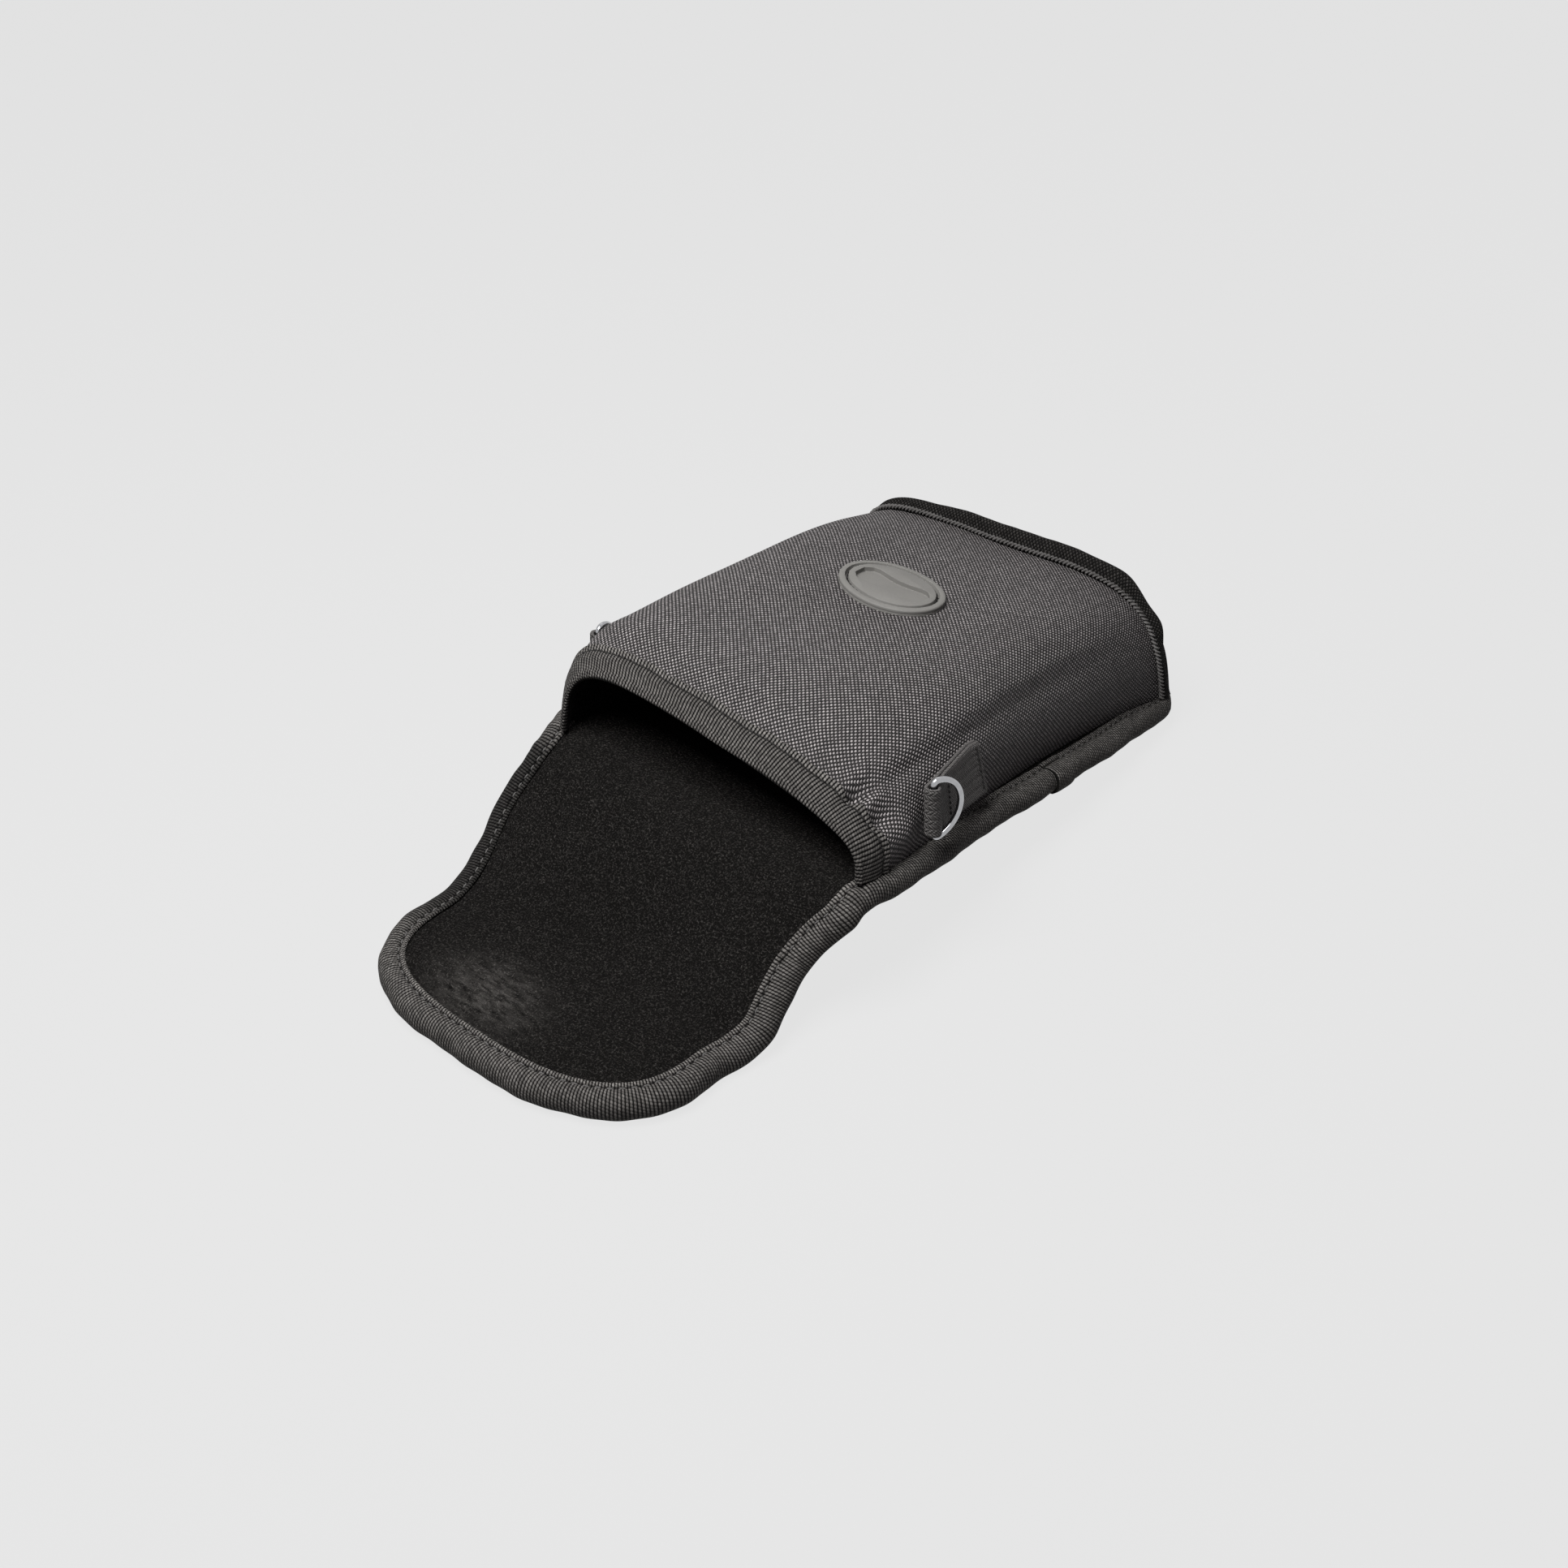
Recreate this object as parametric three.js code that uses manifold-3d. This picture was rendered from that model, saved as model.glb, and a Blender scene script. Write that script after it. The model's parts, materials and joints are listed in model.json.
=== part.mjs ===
// Padded binocular pouch, lying on its back with the flap folded open in front of it.
// Millimetres, +Z up. X is across the pouch, +Y runs to its closed bottom end, the flap is on -Y.
// The pouch is drawn level, with the lip of the mouth at y = 0 and the back panel's lining at z = 0,
// and the whole is then tilted as it lies: on its bottom end and on the tip of the flap.
import * as THREE from "three";
import { mergeVertices } from "three/addons/utils/BufferGeometryUtils.js";
import Module from "manifold-3d";

// Driving dimensions: layers of the padded walls
const FABRIC = 0.8;
const FOAM = 4;
const PANEL_FOAM = 5.8;
const LINING = 0.8;
const GAP = 0.3;
const TAPE = 0.8;
const LINING_INSET = 2.9;
const FOAM_INSET = 1.9;

// Driving dimensions: back panel and flap, in plan
const HINGE_Y = -4;
const PANEL_HALF_WIDTH = 77;
const PANEL_END_Y = 208;
const PANEL_CORNER = 20;
const NECK_LENGTH = 56.8;
const NECK_INSET = 8;
const NECK_FLARE = 4.5;
const NECK_FLARE_POWER = 2.5;
const TIP_LENGTH = 61.6;
const TIP_INSET = 3.5;
const TIP_TAPER_LENGTH = 30.7;
const TIP_POWER = 2.2;

// Driving dimensions: how the pouch lies and how far the flap can be opened past that
const LIE_ANGLE = 9.4;
const SPARE_OPENING = 12;

// Driving dimensions: pocket shell, an arch from floor to floor. It is lowest at the mouth, rises
// behind the mouth's tape to a shoulder and a crown, and drops to the bottom end. Its feet stand in
// from the panel's edge.
const MOUTH_HEIGHT = 30;
const MOUTH_INSET = 5;
const TAPED_HEIGHT = 33;
const RISE_Y = 32;
const RISE_HEIGHT = 41;
const SHOULDER_Y = 55;
const SHOULDER_HEIGHT = 44.3;
const SHOULDER_INSET = 6.2;
const CROWN_SETBACK = 34;
const CROWN_HEIGHT = 48;
const END_SETBACK = 24;
const END_HEIGHT = 43.5;
const END_INSET = 9;
const ARCH_POWER = 4.5;
const ARCH_STEPS = 26;
const END_LEAN = 6;
const LEAN_LENGTH = 64;

// Driving dimensions: edge tapes
const TAPE_LEG = 9.5;
const BODY_LEG_END = 5.5;
const NOSE = 2.2;
const NOSE_DROP = 3.7;
const MOUTH_TAPE_LEG = 12;
const MOUTH_ROUND = 0.7;
const FLANGE_LAP = 1.4;
const FLANGE_WIDTH = 8.6;
const FLANGE_RISE = 4.5;
const FLANGE_ROUND = 1.8;
const LAP_Y = 116;
const LAP_LENGTH = 11;
const LAP_LEG = 6.5;

// Driving dimensions: carrying rings and their webbing tabs
const RING_INNER_LENGTH = 21;
const RING_INNER_DEPTH = 13.5;
const RING_WIRE = 2.2;
const RING_CORNER = 1.6;
const RING_ANGLE = 12;
const RING_Y = 30;
const RING_Z = 18.5;
const WEBBING = 1.5;
const WEBBING_WIDTH = 19;
const TAB_LENGTH = 29;
const TAB_SEWN_FROM = 9;
const TAB_RISE = 8.5;
const WALL_LEAN = 4;

// Driving dimensions: badge and hidden closure
const BADGE_WIDTH = 42;
const BADGE_LENGTH = 33;
const BADGE_THICKNESS = 3;
const BADGE_ROUND = 0.6;
const BADGE_RIM = 2.4;
const BADGE_GROOVE_WIDTH = 1.3;
const BADGE_GROOVE_DEPTH = 0.9;
const BADGE_RECESS_DEPTH = 0.7;
const BADGE_Y = 103;
const BADGE_TILT = 2.7;
const MAGNET_RADIUS = 9;
const MAGNET_THICKNESS = 2;
const MAGNET_REACH = 40;
const MAGNET_DEPTH = 1;
const KEEPER_THICKNESS = 1;
const KEEPER_DEPTH = 1.6;
const POCKET_REACH = 3;

// Heights of the bound panel, down from the lining's face at z = 0
const FOAM_TOP = -LINING - GAP;
const FOAM_BOTTOM = FOAM_TOP - PANEL_FOAM;
const FABRIC_TOP = FOAM_BOTTOM - GAP;
const FABRIC_BOTTOM = FABRIC_TOP - FABRIC;
const TAPE_TOP = GAP + TAPE;
const TAPE_BOTTOM = FABRIC_BOTTOM - GAP - TAPE;
const WALL = FABRIC + GAP + FOAM + GAP + LINING;
const FOOT = GAP;
const RAISED_FOOT = TAPE_TOP + GAP;

// Sizes that follow from the panel's
const NECK_HALF_WIDTH = PANEL_HALF_WIDTH - NECK_INSET;
const TIP_HALF_WIDTH = NECK_HALF_WIDTH - TIP_INSET;
const SHELL_END_Y = PANEL_END_Y - END_SETBACK;
const CROWN_Y = SHELL_END_Y - CROWN_SETBACK;
const SECTIONS = [
  { y: 0, inset: MOUTH_INSET, height: MOUTH_HEIGHT },
  { y: MOUTH_TAPE_LEG, inset: MOUTH_INSET, height: TAPED_HEIGHT },
  { y: RISE_Y, inset: (MOUTH_INSET + SHOULDER_INSET) / 2, height: RISE_HEIGHT },
  { y: SHOULDER_Y, inset: SHOULDER_INSET, height: SHOULDER_HEIGHT },
  { y: CROWN_Y, inset: END_INSET, height: CROWN_HEIGHT },
  { y: SHELL_END_Y, inset: END_INSET, height: END_HEIGHT },
];

const degrees = THREE.MathUtils.degToRad;

// Values from one end to the other in a number of steps, crowded towards the start
const spaced = (from, to, steps, crowding = 1.5) =>
  Array.from({ length: steps + 1 }, (_, i) => from + (to - from) * (i / steps) ** crowding);

// Angles worked out from the tilt: the neck comes down to the floor and the tip lies flat on it
const tilt = degrees(LIE_ANGLE);
const hingeHeight =
  (PANEL_END_Y - NOSE - HINGE_Y) * Math.sin(tilt) - TAPE_BOTTOM * Math.cos(tilt);
const neckSlope = Math.asin((hingeHeight + TAPE_BOTTOM) / NECK_LENGTH);
const neckBend = neckSlope + tilt;

const wasm = await Module();
wasm.setup();

// Materials
const material = (color, roughness, metalness = 0) => () =>
  new THREE.MeshStandardMaterial({ color, roughness, metalness });
const wovenGrey = material(0x6a6868, 0.85);
const wovenBlack = material(0x2c2a29, 0.85);
const brushedLoop = material(0x1d1c1b, 0.95);
const ribbedTape = material(0x3d3b38, 0.8);
const foamGrey = material(0x4a4a4c, 1);
const webbingBlack = material(0x35332f, 0.85);
const steel = material(0xc9cacc, 0.2, 1);
const magnetGrey = material(0x8d8f92, 0.35, 1);
const badgeRubber = material(0xa19f98, 0.6);

// A part's mesh, named as its node
function part(name, geometry, makeMaterial) {
  const mesh = new THREE.Mesh(geometry, makeMaterial());
  mesh.name = name;
  return mesh;
}

// A closed solid through rings of equal point counts; the outline is triangulated for its two ends
function loft(rings, outline) {
  const count = rings[0].length;
  const position = new Float32Array(rings.flat().flatMap((p) => [p.x, p.y, p.z]));
  const index = [];
  const spans = outline ? rings.length - 1 : rings.length;
  for (let i = 0; i < spans; i++) {
    const here = i * count;
    const next = ((i + 1) % rings.length) * count;
    for (let j = 0; j < count; j++) {
      const k = (j + 1) % count;
      index.push(here + j, next + j, next + k, here + j, next + k, here + k);
    }
  }
  if (outline) {
    const last = (rings.length - 1) * count;
    const around = THREE.ShapeUtils.area(outline);
    for (const [a, b, c] of THREE.ShapeUtils.triangulateShape(outline, [])) {
      const sameWay = THREE.ShapeUtils.area([outline[a], outline[b], outline[c]]) * around > 0;
      const [p, q] = sameWay ? [b, c] : [c, b];
      index.push(a, p, q, last + a, last + q, last + p);
    }
  }
  const geometry = new THREE.BufferGeometry();
  geometry.setAttribute("position", new THREE.BufferAttribute(position, 3));
  geometry.setIndex(index);
  return facingOut(geometry);
}

// The same closed surface with its faces pointing out
function facingOut(geometry) {
  const p = geometry.getAttribute("position");
  const index = geometry.getIndex().array;
  const corners = [0, 1, 2].map(() => new THREE.Vector3());
  let volume = 0;
  for (let i = 0; i < index.length; i += 3) {
    corners.forEach((corner, k) => corner.fromBufferAttribute(p, index[i + k]));
    volume += corners[0].dot(corners[1].clone().cross(corners[2]));
  }
  if (volume < 0) geometry.setIndex(Array.from(index).reverse());
  return geometry;
}

// Joins and cuts
function toSolid(geometry) {
  const bare = geometry.clone();
  bare.deleteAttribute("normal");
  bare.deleteAttribute("uv");
  const merged = mergeVertices(bare, 1e-4);
  return new wasm.Manifold(
    new wasm.Mesh({
      numProp: 3,
      vertProperties: merged.getAttribute("position").array,
      triVerts: new Uint32Array(merged.getIndex().array),
    }),
  );
}

function toGeometry(solid) {
  const mesh = solid.getMesh();
  const geometry = new THREE.BufferGeometry();
  geometry.setAttribute("position", new THREE.BufferAttribute(mesh.vertProperties, 3));
  geometry.setIndex(new THREE.BufferAttribute(mesh.triVerts, 1));
  return geometry;
}

function cut(geometry, ...cutters) {
  return toGeometry(cutters.reduce((solid, c) => solid.subtract(toSolid(c)), toSolid(geometry)));
}

// A flat layer with the given plan, its top face at height top
function layer(plan, top, thickness) {
  return new THREE.ExtrudeGeometry(plan, { depth: thickness, bevelEnabled: false, curveSegments: 10 })
    .translate(0, 0, top - thickness);
}

// A prism across the pouch, from its outline in Y and Z
function prismAcross(points, halfWidth) {
  const outline = new THREE.Shape(points.map(([y, z]) => new THREE.Vector2(y, z)));
  return new THREE.ExtrudeGeometry(outline, { depth: 2 * halfWidth, bevelEnabled: false })
    .translate(0, 0, -halfWidth)
    .rotateY(Math.PI / 2)
    .rotateX(Math.PI / 2);
}

// What is cut away at a fold so that the layers clear each other: back to a mitre below the
// lining's face, and back far enough above it for the tapes. The fold line is the origin, and
// the material kept lies on the side that the sign names.
function foldClearance(side, bend) {
  const reach = 40;
  const deep = TAPE_BOTTOM - 1;
  const high = TAPE_TOP + 1;
  const above = 1.6;
  const outline = [
    [-reach, high],
    [above, high],
    [above, GAP / 2],
    [GAP, GAP / 2],
    [GAP, -GAP / 2],
    [GAP - deep * Math.tan(bend / 2), deep],
    [-reach, deep],
  ].map(([y, z]) => [side * y, z]);
  return prismAcross(side > 0 ? outline : outline.reverse(), PANEL_HALF_WIDTH + 5);
}

// Smooth value of a section's key at a station along the pouch
function sectionAt(y, key) {
  const last = SECTIONS.length - 1;
  const at = (i) => SECTIONS[Math.min(Math.max(i, 0), last)];
  if (y <= at(0).y) return at(0)[key];
  if (y >= at(last).y) return at(last)[key];
  const i = SECTIONS.findIndex((section) => section.y > y) - 1;
  const slope = (j) => (at(j + 1)[key] - at(j - 1)[key]) / (at(j + 1).y - at(j - 1).y);
  const span = at(i + 1).y - at(i).y;
  const t = (y - at(i).y) / span;
  const rise = at(i + 1)[key] - at(i)[key];
  const startBend = slope(i) * span - rise;
  const endBend = rise - slope(i + 1) * span;
  return at(i)[key] + rise * t + t * (1 - t) * (startBend * (1 - t) + endBend * t);
}

const halfWidthAt = (y) => PANEL_HALF_WIDTH - sectionAt(y, "inset");

// The lower part of the bottom end stands further back than its top
function leanedY(y, z) {
  const along = THREE.MathUtils.smoothstep(y, SHELL_END_Y - LEAN_LENGTH, SHELL_END_Y);
  return y + END_LEAN * along * (1 - z / sectionAt(SHELL_END_Y, "height"));
}

// A point of the arch at a station: step 0 is the right foot, outset is along the arch's normal
function archPoint(y, step, outset, foot = FOOT) {
  const angle = Math.PI * THREE.MathUtils.clamp(step / ARCH_STEPS, 0, 1);
  const halfWidth = halfWidthAt(y);
  const height = sectionAt(y, "height") - FOOT;
  const power = 2 / ARCH_POWER;
  const on = (a) =>
    new THREE.Vector2(
      Math.sign(Math.cos(a)) * halfWidth * Math.abs(Math.cos(a)) ** power,
      FOOT + height * Math.sin(a) ** power,
    );
  const small = 1e-3;
  const a = THREE.MathUtils.clamp(angle, small, Math.PI - small);
  const ahead = on(a + small / 2).sub(on(a - small / 2)).normalize();
  const p = on(angle);
  const x = p.x + ahead.y * outset;
  const z = Math.max(p.y - ahead.x * outset, foot);
  return new THREE.Vector3(x, leanedY(y, z), z);
}

const archSteps = Array.from({ length: ARCH_STEPS + 1 }, (_, i) => i);

// One skin of the pocket shell between two outsets, from one station to another
function shellLayer(outer, inner, startY, endY) {
  const rings = spaced(startY, endY, 13).map((y) => [
    ...archSteps.map((step) => archPoint(y, step, outer)),
    ...archSteps.toReversed().map((step) => archPoint(y, step, inner)),
  ]);
  return loft(rings, rings[0].map((p) => new THREE.Vector2(p.x, p.z)));
}

// A tape or welt swept round the arch, from its outline as stations and outsets
function roundArch(outline, foot) {
  const rings = archSteps.map((step) =>
    outline.map(([y, outset]) => archPoint(y, step, outset, foot)),
  );
  return loft(rings, outline.map(([y, outset]) => new THREE.Vector2(y, outset)));
}

// Folded tape in section: distance in from the edge, and height
function tapeSection(leg, bottomLeg = TAPE_LEG, outset = 0) {
  const skin = (inset) => {
    const nose = [0, Math.PI / 4, Math.PI / 2].map((a) => [
      NOSE - (NOSE - inset) * Math.sin(a),
      inset + (NOSE_DROP - inset) * (1 - Math.cos(a)),
    ]);
    return [
      [leg, TAPE_TOP - inset],
      ...nose.map(([d, drop]) => [d, TAPE_TOP - drop]),
      ...nose.toReversed().map(([d, drop]) => [d, TAPE_BOTTOM + drop]),
      [bottomLeg, TAPE_BOTTOM + inset],
    ];
  };
  return [...skin(-outset), ...skin(TAPE - outset).reverse()];
}

// Folded tape along an edge. Each stop holds a point of the edge, the direction in from it, and
// the length of the tape's upper leg there.
function edgeTape(stops, outset = 0, bottomLeg = TAPE_LEG) {
  const rings = stops.map(({ edge, inward, leg }) =>
    tapeSection(leg, bottomLeg, outset).map(
      ([d, z]) => new THREE.Vector3(edge.x + inward.x * d, edge.y + inward.y * d, z),
    ),
  );
  const outline = tapeSection(stops[0].leg, bottomLeg, outset).map(([d, z]) => new THREE.Vector2(d, z));
  return loft(rings, outline);
}

// Stops along an edge given as points, with the inward side on the left of the way. The two ends
// are square to the Y axis.
function stopsAlong(points, leg) {
  return points.map((edge, i) => {
    const isEnd = i === 0 || i === points.length - 1;
    const way = isEnd ? new THREE.Vector2() : points[i + 1].clone().sub(points[i - 1]).normalize();
    const inward = isEnd
      ? new THREE.Vector2(-Math.sign(edge.x), 0)
      : new THREE.Vector2(-way.y, way.x);
    return { edge, inward, leg: leg(edge) };
  });
}

// Pocket shell
const outerSkin = [0, -FABRIC];
const padding = [-FABRIC - GAP, -FABRIC - GAP - FOAM];
const innerSkin = [LINING - WALL, -WALL];
const shellStart = GAP / 2;

function shellParts() {
  return [
    part("front_shell_fabric", shellLayer(...outerSkin, shellStart, SHELL_END_Y), wovenGrey),
    part(
      "front_shell_foam",
      cut(shellLayer(...padding, shellStart, SHELL_END_Y), keeperBody(GAP)),
      foamGrey,
    ),
    part("front_shell_lining", shellLayer(...innerSkin, shellStart, SHELL_END_Y), brushedLoop),
  ];
}

// The tape over the lip of the mouth, one leg outside and one inside
function mouthBinding() {
  const outside = GAP + TAPE;
  const inside = -WALL - GAP - TAPE;
  const lip = shellStart - GAP - TAPE;
  return roundArch(
    [
      [MOUTH_TAPE_LEG, outside],
      [lip + MOUTH_ROUND, outside],
      [lip, outside - 2 * MOUTH_ROUND],
      [lip, inside + 2 * MOUTH_ROUND],
      [lip + MOUTH_ROUND, inside],
      [MOUTH_TAPE_LEG, inside],
      [MOUTH_TAPE_LEG, inside + TAPE],
      [lip + TAPE, inside + TAPE],
      [lip + TAPE, outside - TAPE],
      [MOUTH_TAPE_LEG, outside - TAPE],
    ],
    RAISED_FOOT,
  );
}

// The bound welt that stands proud along the seam of the bottom end
function endFlange() {
  const front = SHELL_END_Y - FLANGE_LAP;
  const back = front + FLANGE_WIDTH;
  const crown = GAP + FLANGE_RISE;
  return roundArch(
    [
      [front, GAP],
      [front, crown - FLANGE_ROUND],
      [front + FLANGE_ROUND, crown],
      [back - FLANGE_ROUND, crown],
      [back, crown - FLANGE_ROUND],
      [back, GAP],
    ],
    RAISED_FOOT,
  );
}

// Layers of the bottom end, an arch-shaped panel that leans with the shell's rear edge
function endPanelLayer(start, thickness, outset) {
  const rings = [start, start + thickness].map((offset) =>
    archSteps.map((step) => {
      const p = archPoint(SHELL_END_Y, step, outset);
      return p.setY(p.y + offset);
    }),
  );
  return loft(rings, rings[0].map((p) => new THREE.Vector2(p.x, p.z)));
}

function endPanelParts() {
  const foamStart = GAP + LINING + GAP;
  const fabricStart = foamStart + FOAM + GAP;
  return [
    part("end_panel_lining", endPanelLayer(GAP, LINING, -FABRIC), brushedLoop),
    part("end_panel_foam", endPanelLayer(foamStart, FOAM, -FABRIC), foamGrey),
    part("end_panel_fabric", endPanelLayer(fabricStart, FABRIC, 0), wovenBlack),
  ];
}

// Back panel: plan of a layer that stops short of the bound edge
function backPlan(inset) {
  const x = PANEL_HALF_WIDTH - inset;
  const end = PANEL_END_Y - inset;
  const radius = PANEL_CORNER - inset;
  const start = HINGE_Y;
  const plan = new THREE.Shape();
  plan.moveTo(x, start);
  plan.lineTo(x, end - radius);
  plan.absarc(x - radius, end - radius, radius, 0, Math.PI / 2);
  plan.lineTo(radius - x, end);
  plan.absarc(radius - x, end - radius, radius, Math.PI / 2, Math.PI);
  plan.lineTo(-x, start);
  return plan;
}

// The three layers of a bound panel, as plans, cut by what its folds need
function panelLayers(name, plan, cutters, pocket = []) {
  const made = [
    ["lining", LINING_INSET, 0, LINING, brushedLoop, []],
    ["foam", FOAM_INSET, FOAM_TOP, PANEL_FOAM, foamGrey, pocket],
    ["fabric", LINING_INSET, FABRIC_TOP, FABRIC, wovenBlack, []],
  ];
  return made.map(([kind, inset, top, thickness, makeMaterial, extra]) =>
    part(
      `${name}_${kind}`,
      cut(layer(plan(inset), top, thickness), ...cutters, ...extra),
      makeMaterial,
    ),
  );
}

const atHinge = (geometry) => geometry.translate(0, HINGE_Y, 0);

function backPanelParts() {
  const mitre = atHinge(foldClearance(1, neckBend + degrees(SPARE_OPENING)));
  const bindings = ["right", "end", "left"].map((place) =>
    part(`back_binding_${place}`, cut(edgeTape(backEdge(place)), mitre), ribbedTape),
  );
  return [...panelLayers("back_panel", backPlan, [mitre]), ...bindings];
}

// The tape's upper leg reaches in to the foot of the shell, and is shorter round the bottom end
function bodyLeg(edge) {
  const room = sectionAt(edge.y, "inset") - 2 * GAP;
  const rear = THREE.MathUtils.smoothstep(edge.y, SHELL_END_Y - END_SETBACK, PANEL_END_Y - PANEL_CORNER);
  return THREE.MathUtils.lerp(room, BODY_LEG_END, rear);
}

// The edge of the back panel in three lengths, the ends GAP apart
function backEdge(place) {
  const x = PANEL_HALF_WIDTH;
  const cornerY = PANEL_END_Y - PANEL_CORNER;
  const cornerX = x - PANEL_CORNER;
  const side = spaced(HINGE_Y, cornerY - GAP, 10).map((y) => new THREE.Vector2(x, y));
  if (place === "right") return stopsAlong(side, bodyLeg);
  if (place === "left")
    return stopsAlong(side.toReversed().map((p) => new THREE.Vector2(-p.x, p.y)), bodyLeg);
  const steps = 8;
  const corner = Array.from({ length: steps + 1 }, (_, i) => {
    const a = (Math.PI / 2) * (i / steps);
    return new THREE.Vector2(
      cornerX + PANEL_CORNER * Math.cos(a),
      cornerY + PANEL_CORNER * Math.sin(a),
    );
  });
  const mirrored = corner.toReversed().map((p) => new THREE.Vector2(-p.x, p.y));
  return stopsAlong([...corner, ...mirrored], bodyLeg);
}

// The tape's turned-under end, lapped over the start of the same tape
function bindingLap() {
  const half = LAP_LENGTH / 2;
  const ends = [-half, half].map((dy) => new THREE.Vector2(PANEL_HALF_WIDTH, LAP_Y + dy));
  const stops = stopsAlong(ends, () => LAP_LEG);
  return part("binding_lap", edgeTape(stops, GAP + TAPE, TAPE_LEG), ribbedTape);
}

// Neck of the flap, in its own frame: fold line at the mouth on y = 0, the flap runs to -Y
function neckHalfWidth(y) {
  const t = THREE.MathUtils.clamp(-y / NECK_LENGTH, 0, 1);
  return NECK_HALF_WIDTH + NECK_FLARE * (1 - t) ** NECK_FLARE_POWER;
}

const neckStops = spaced(0, -NECK_LENGTH, 7);

function neckPlan(inset) {
  const right = neckStops.map((y) => new THREE.Vector2(neckHalfWidth(y) - inset, y));
  const left = right.toReversed().map((p) => new THREE.Vector2(-p.x, p.y));
  return new THREE.Shape([...left, ...right]);
}

function neckParts() {
  const atMouth = foldClearance(-1, neckBend + degrees(SPARE_OPENING));
  const atTip = foldClearance(1, 0).translate(0, -NECK_LENGTH, 0);
  const cutters = [atMouth, atTip];
  const leg = () => TAPE_LEG;
  const right = neckStops.toReversed().map((y) => new THREE.Vector2(neckHalfWidth(y), y));
  const left = right.toReversed().map((p) => new THREE.Vector2(-p.x, p.y));
  return [
    ...panelLayers("flap_neck", neckPlan, cutters),
    part("flap_neck_binding_right", cut(edgeTape(stopsAlong(right, leg)), ...cutters), ribbedTape),
    part("flap_neck_binding_left", cut(edgeTape(stopsAlong(left, leg)), ...cutters), ribbedTape),
  ];
}

// Tip of the flap, in its own frame: fold line on y = 0, tapering to a rounded end on -Y
function tipEdge() {
  const side = [0, 0.5].map(
    (t) =>
      new THREE.Vector2(
        THREE.MathUtils.lerp(NECK_HALF_WIDTH, TIP_HALF_WIDTH, t),
        -TIP_TAPER_LENGTH * t,
      ),
  );
  const steps = 16;
  const depth = TIP_LENGTH - TIP_TAPER_LENGTH;
  const round = Array.from({ length: steps + 1 }, (_, i) => {
    const a = (Math.PI / 2) * (i / steps);
    return new THREE.Vector2(
      TIP_HALF_WIDTH * Math.cos(a) ** (2 / TIP_POWER),
      -TIP_TAPER_LENGTH - depth * Math.sin(a) ** (2 / TIP_POWER),
    );
  });
  const right = [...side, ...round];
  const left = right.slice(0, -1).map((p) => new THREE.Vector2(-p.x, p.y));
  return [...left, ...right.toReversed()];
}

// The same outline moved in by an inset
function tipPlan(inset) {
  const stops = stopsAlong(tipEdge(), () => inset);
  const points = stops.map(({ edge, inward }) => edge.clone().addScaledVector(inward, inset));
  return new THREE.Shape(points);
}

function tipParts() {
  const atFold = foldClearance(-1, 0);
  const stops = stopsAlong(tipEdge(), () => TAPE_LEG);
  return [
    ...panelLayers("flap_tip", tipPlan, [atFold], [magnetBody(GAP)]),
    part("flap_tip_binding", cut(edgeTape(stops), atFold), ribbedTape),
    part("flap_magnet", magnetBody(0), magnetGrey),
  ];
}

// Round plates hidden in the padding: the magnet in the flap's tip and its keeper in the front.
// With room to spare a plate's body is the pocket that holds it, open at the padding's face.
function plate(thickness, room) {
  const height = thickness + (room > 0 ? room + POCKET_REACH : 0);
  const radius = MAGNET_RADIUS + room;
  return new THREE.CylinderGeometry(radius, radius, height, 32)
    .rotateX(Math.PI / 2)
    .translate(0, 0, height / 2 - thickness - room);
}

function magnetBody(room) {
  return plate(MAGNET_THICKNESS, room).translate(0, -MAGNET_REACH, FOAM_TOP - MAGNET_DEPTH);
}

function keeperBody(room) {
  const y = HINGE_Y + MAGNET_REACH;
  const step = 1;
  const rise = sectionAt(y + step, "height") - sectionAt(y - step, "height");
  return plate(KEEPER_THICKNESS, room)
    .rotateX(Math.atan2(rise, 2 * step))
    .translate(0, y, sectionAt(y, "height") - FABRIC - KEEPER_DEPTH);
}

// A carrying ring, its straight bar on the Z axis and its bow towards +Y
function ringGeometry() {
  const r = RING_WIRE / 2;
  const half = (RING_INNER_LENGTH + RING_WIRE) / 2;
  const depth = RING_INNER_DEPTH + RING_WIRE;
  const corner = RING_CORNER;
  const bow = 14;
  const path = [];
  for (const t of [-0.6, 0, 0.6]) path.push(new THREE.Vector2(0, t * (half - corner)));
  for (let i = 0; i <= 3; i++) {
    const a = Math.PI - (Math.PI / 2) * (i / 3);
    path.push(new THREE.Vector2(corner + corner * Math.cos(a), half - corner + corner * Math.sin(a)));
  }
  for (let i = 0; i <= bow; i++) {
    const a = Math.PI / 2 - Math.PI * (i / bow);
    path.push(new THREE.Vector2(depth - half + half * Math.cos(a), half * Math.sin(a)));
  }
  for (let i = 0; i <= 3; i++) {
    const a = -Math.PI / 2 - (Math.PI / 2) * (i / 3);
    path.push(new THREE.Vector2(corner + corner * Math.cos(a), corner - half + corner * Math.sin(a)));
  }
  const sides = 10;
  const rings = path.map((p, i) => {
    const before = path.at(i - 1);
    const after = path[(i + 1) % path.length];
    const way = after.clone().sub(before).normalize();
    return Array.from({ length: sides }, (_, k) => {
      const a = (2 * Math.PI * k) / sides;
      const side = r * Math.cos(a);
      return new THREE.Vector3(r * Math.sin(a), p.x - way.y * side, p.y + way.x * side);
    });
  });
  return loft(rings);
}

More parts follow.
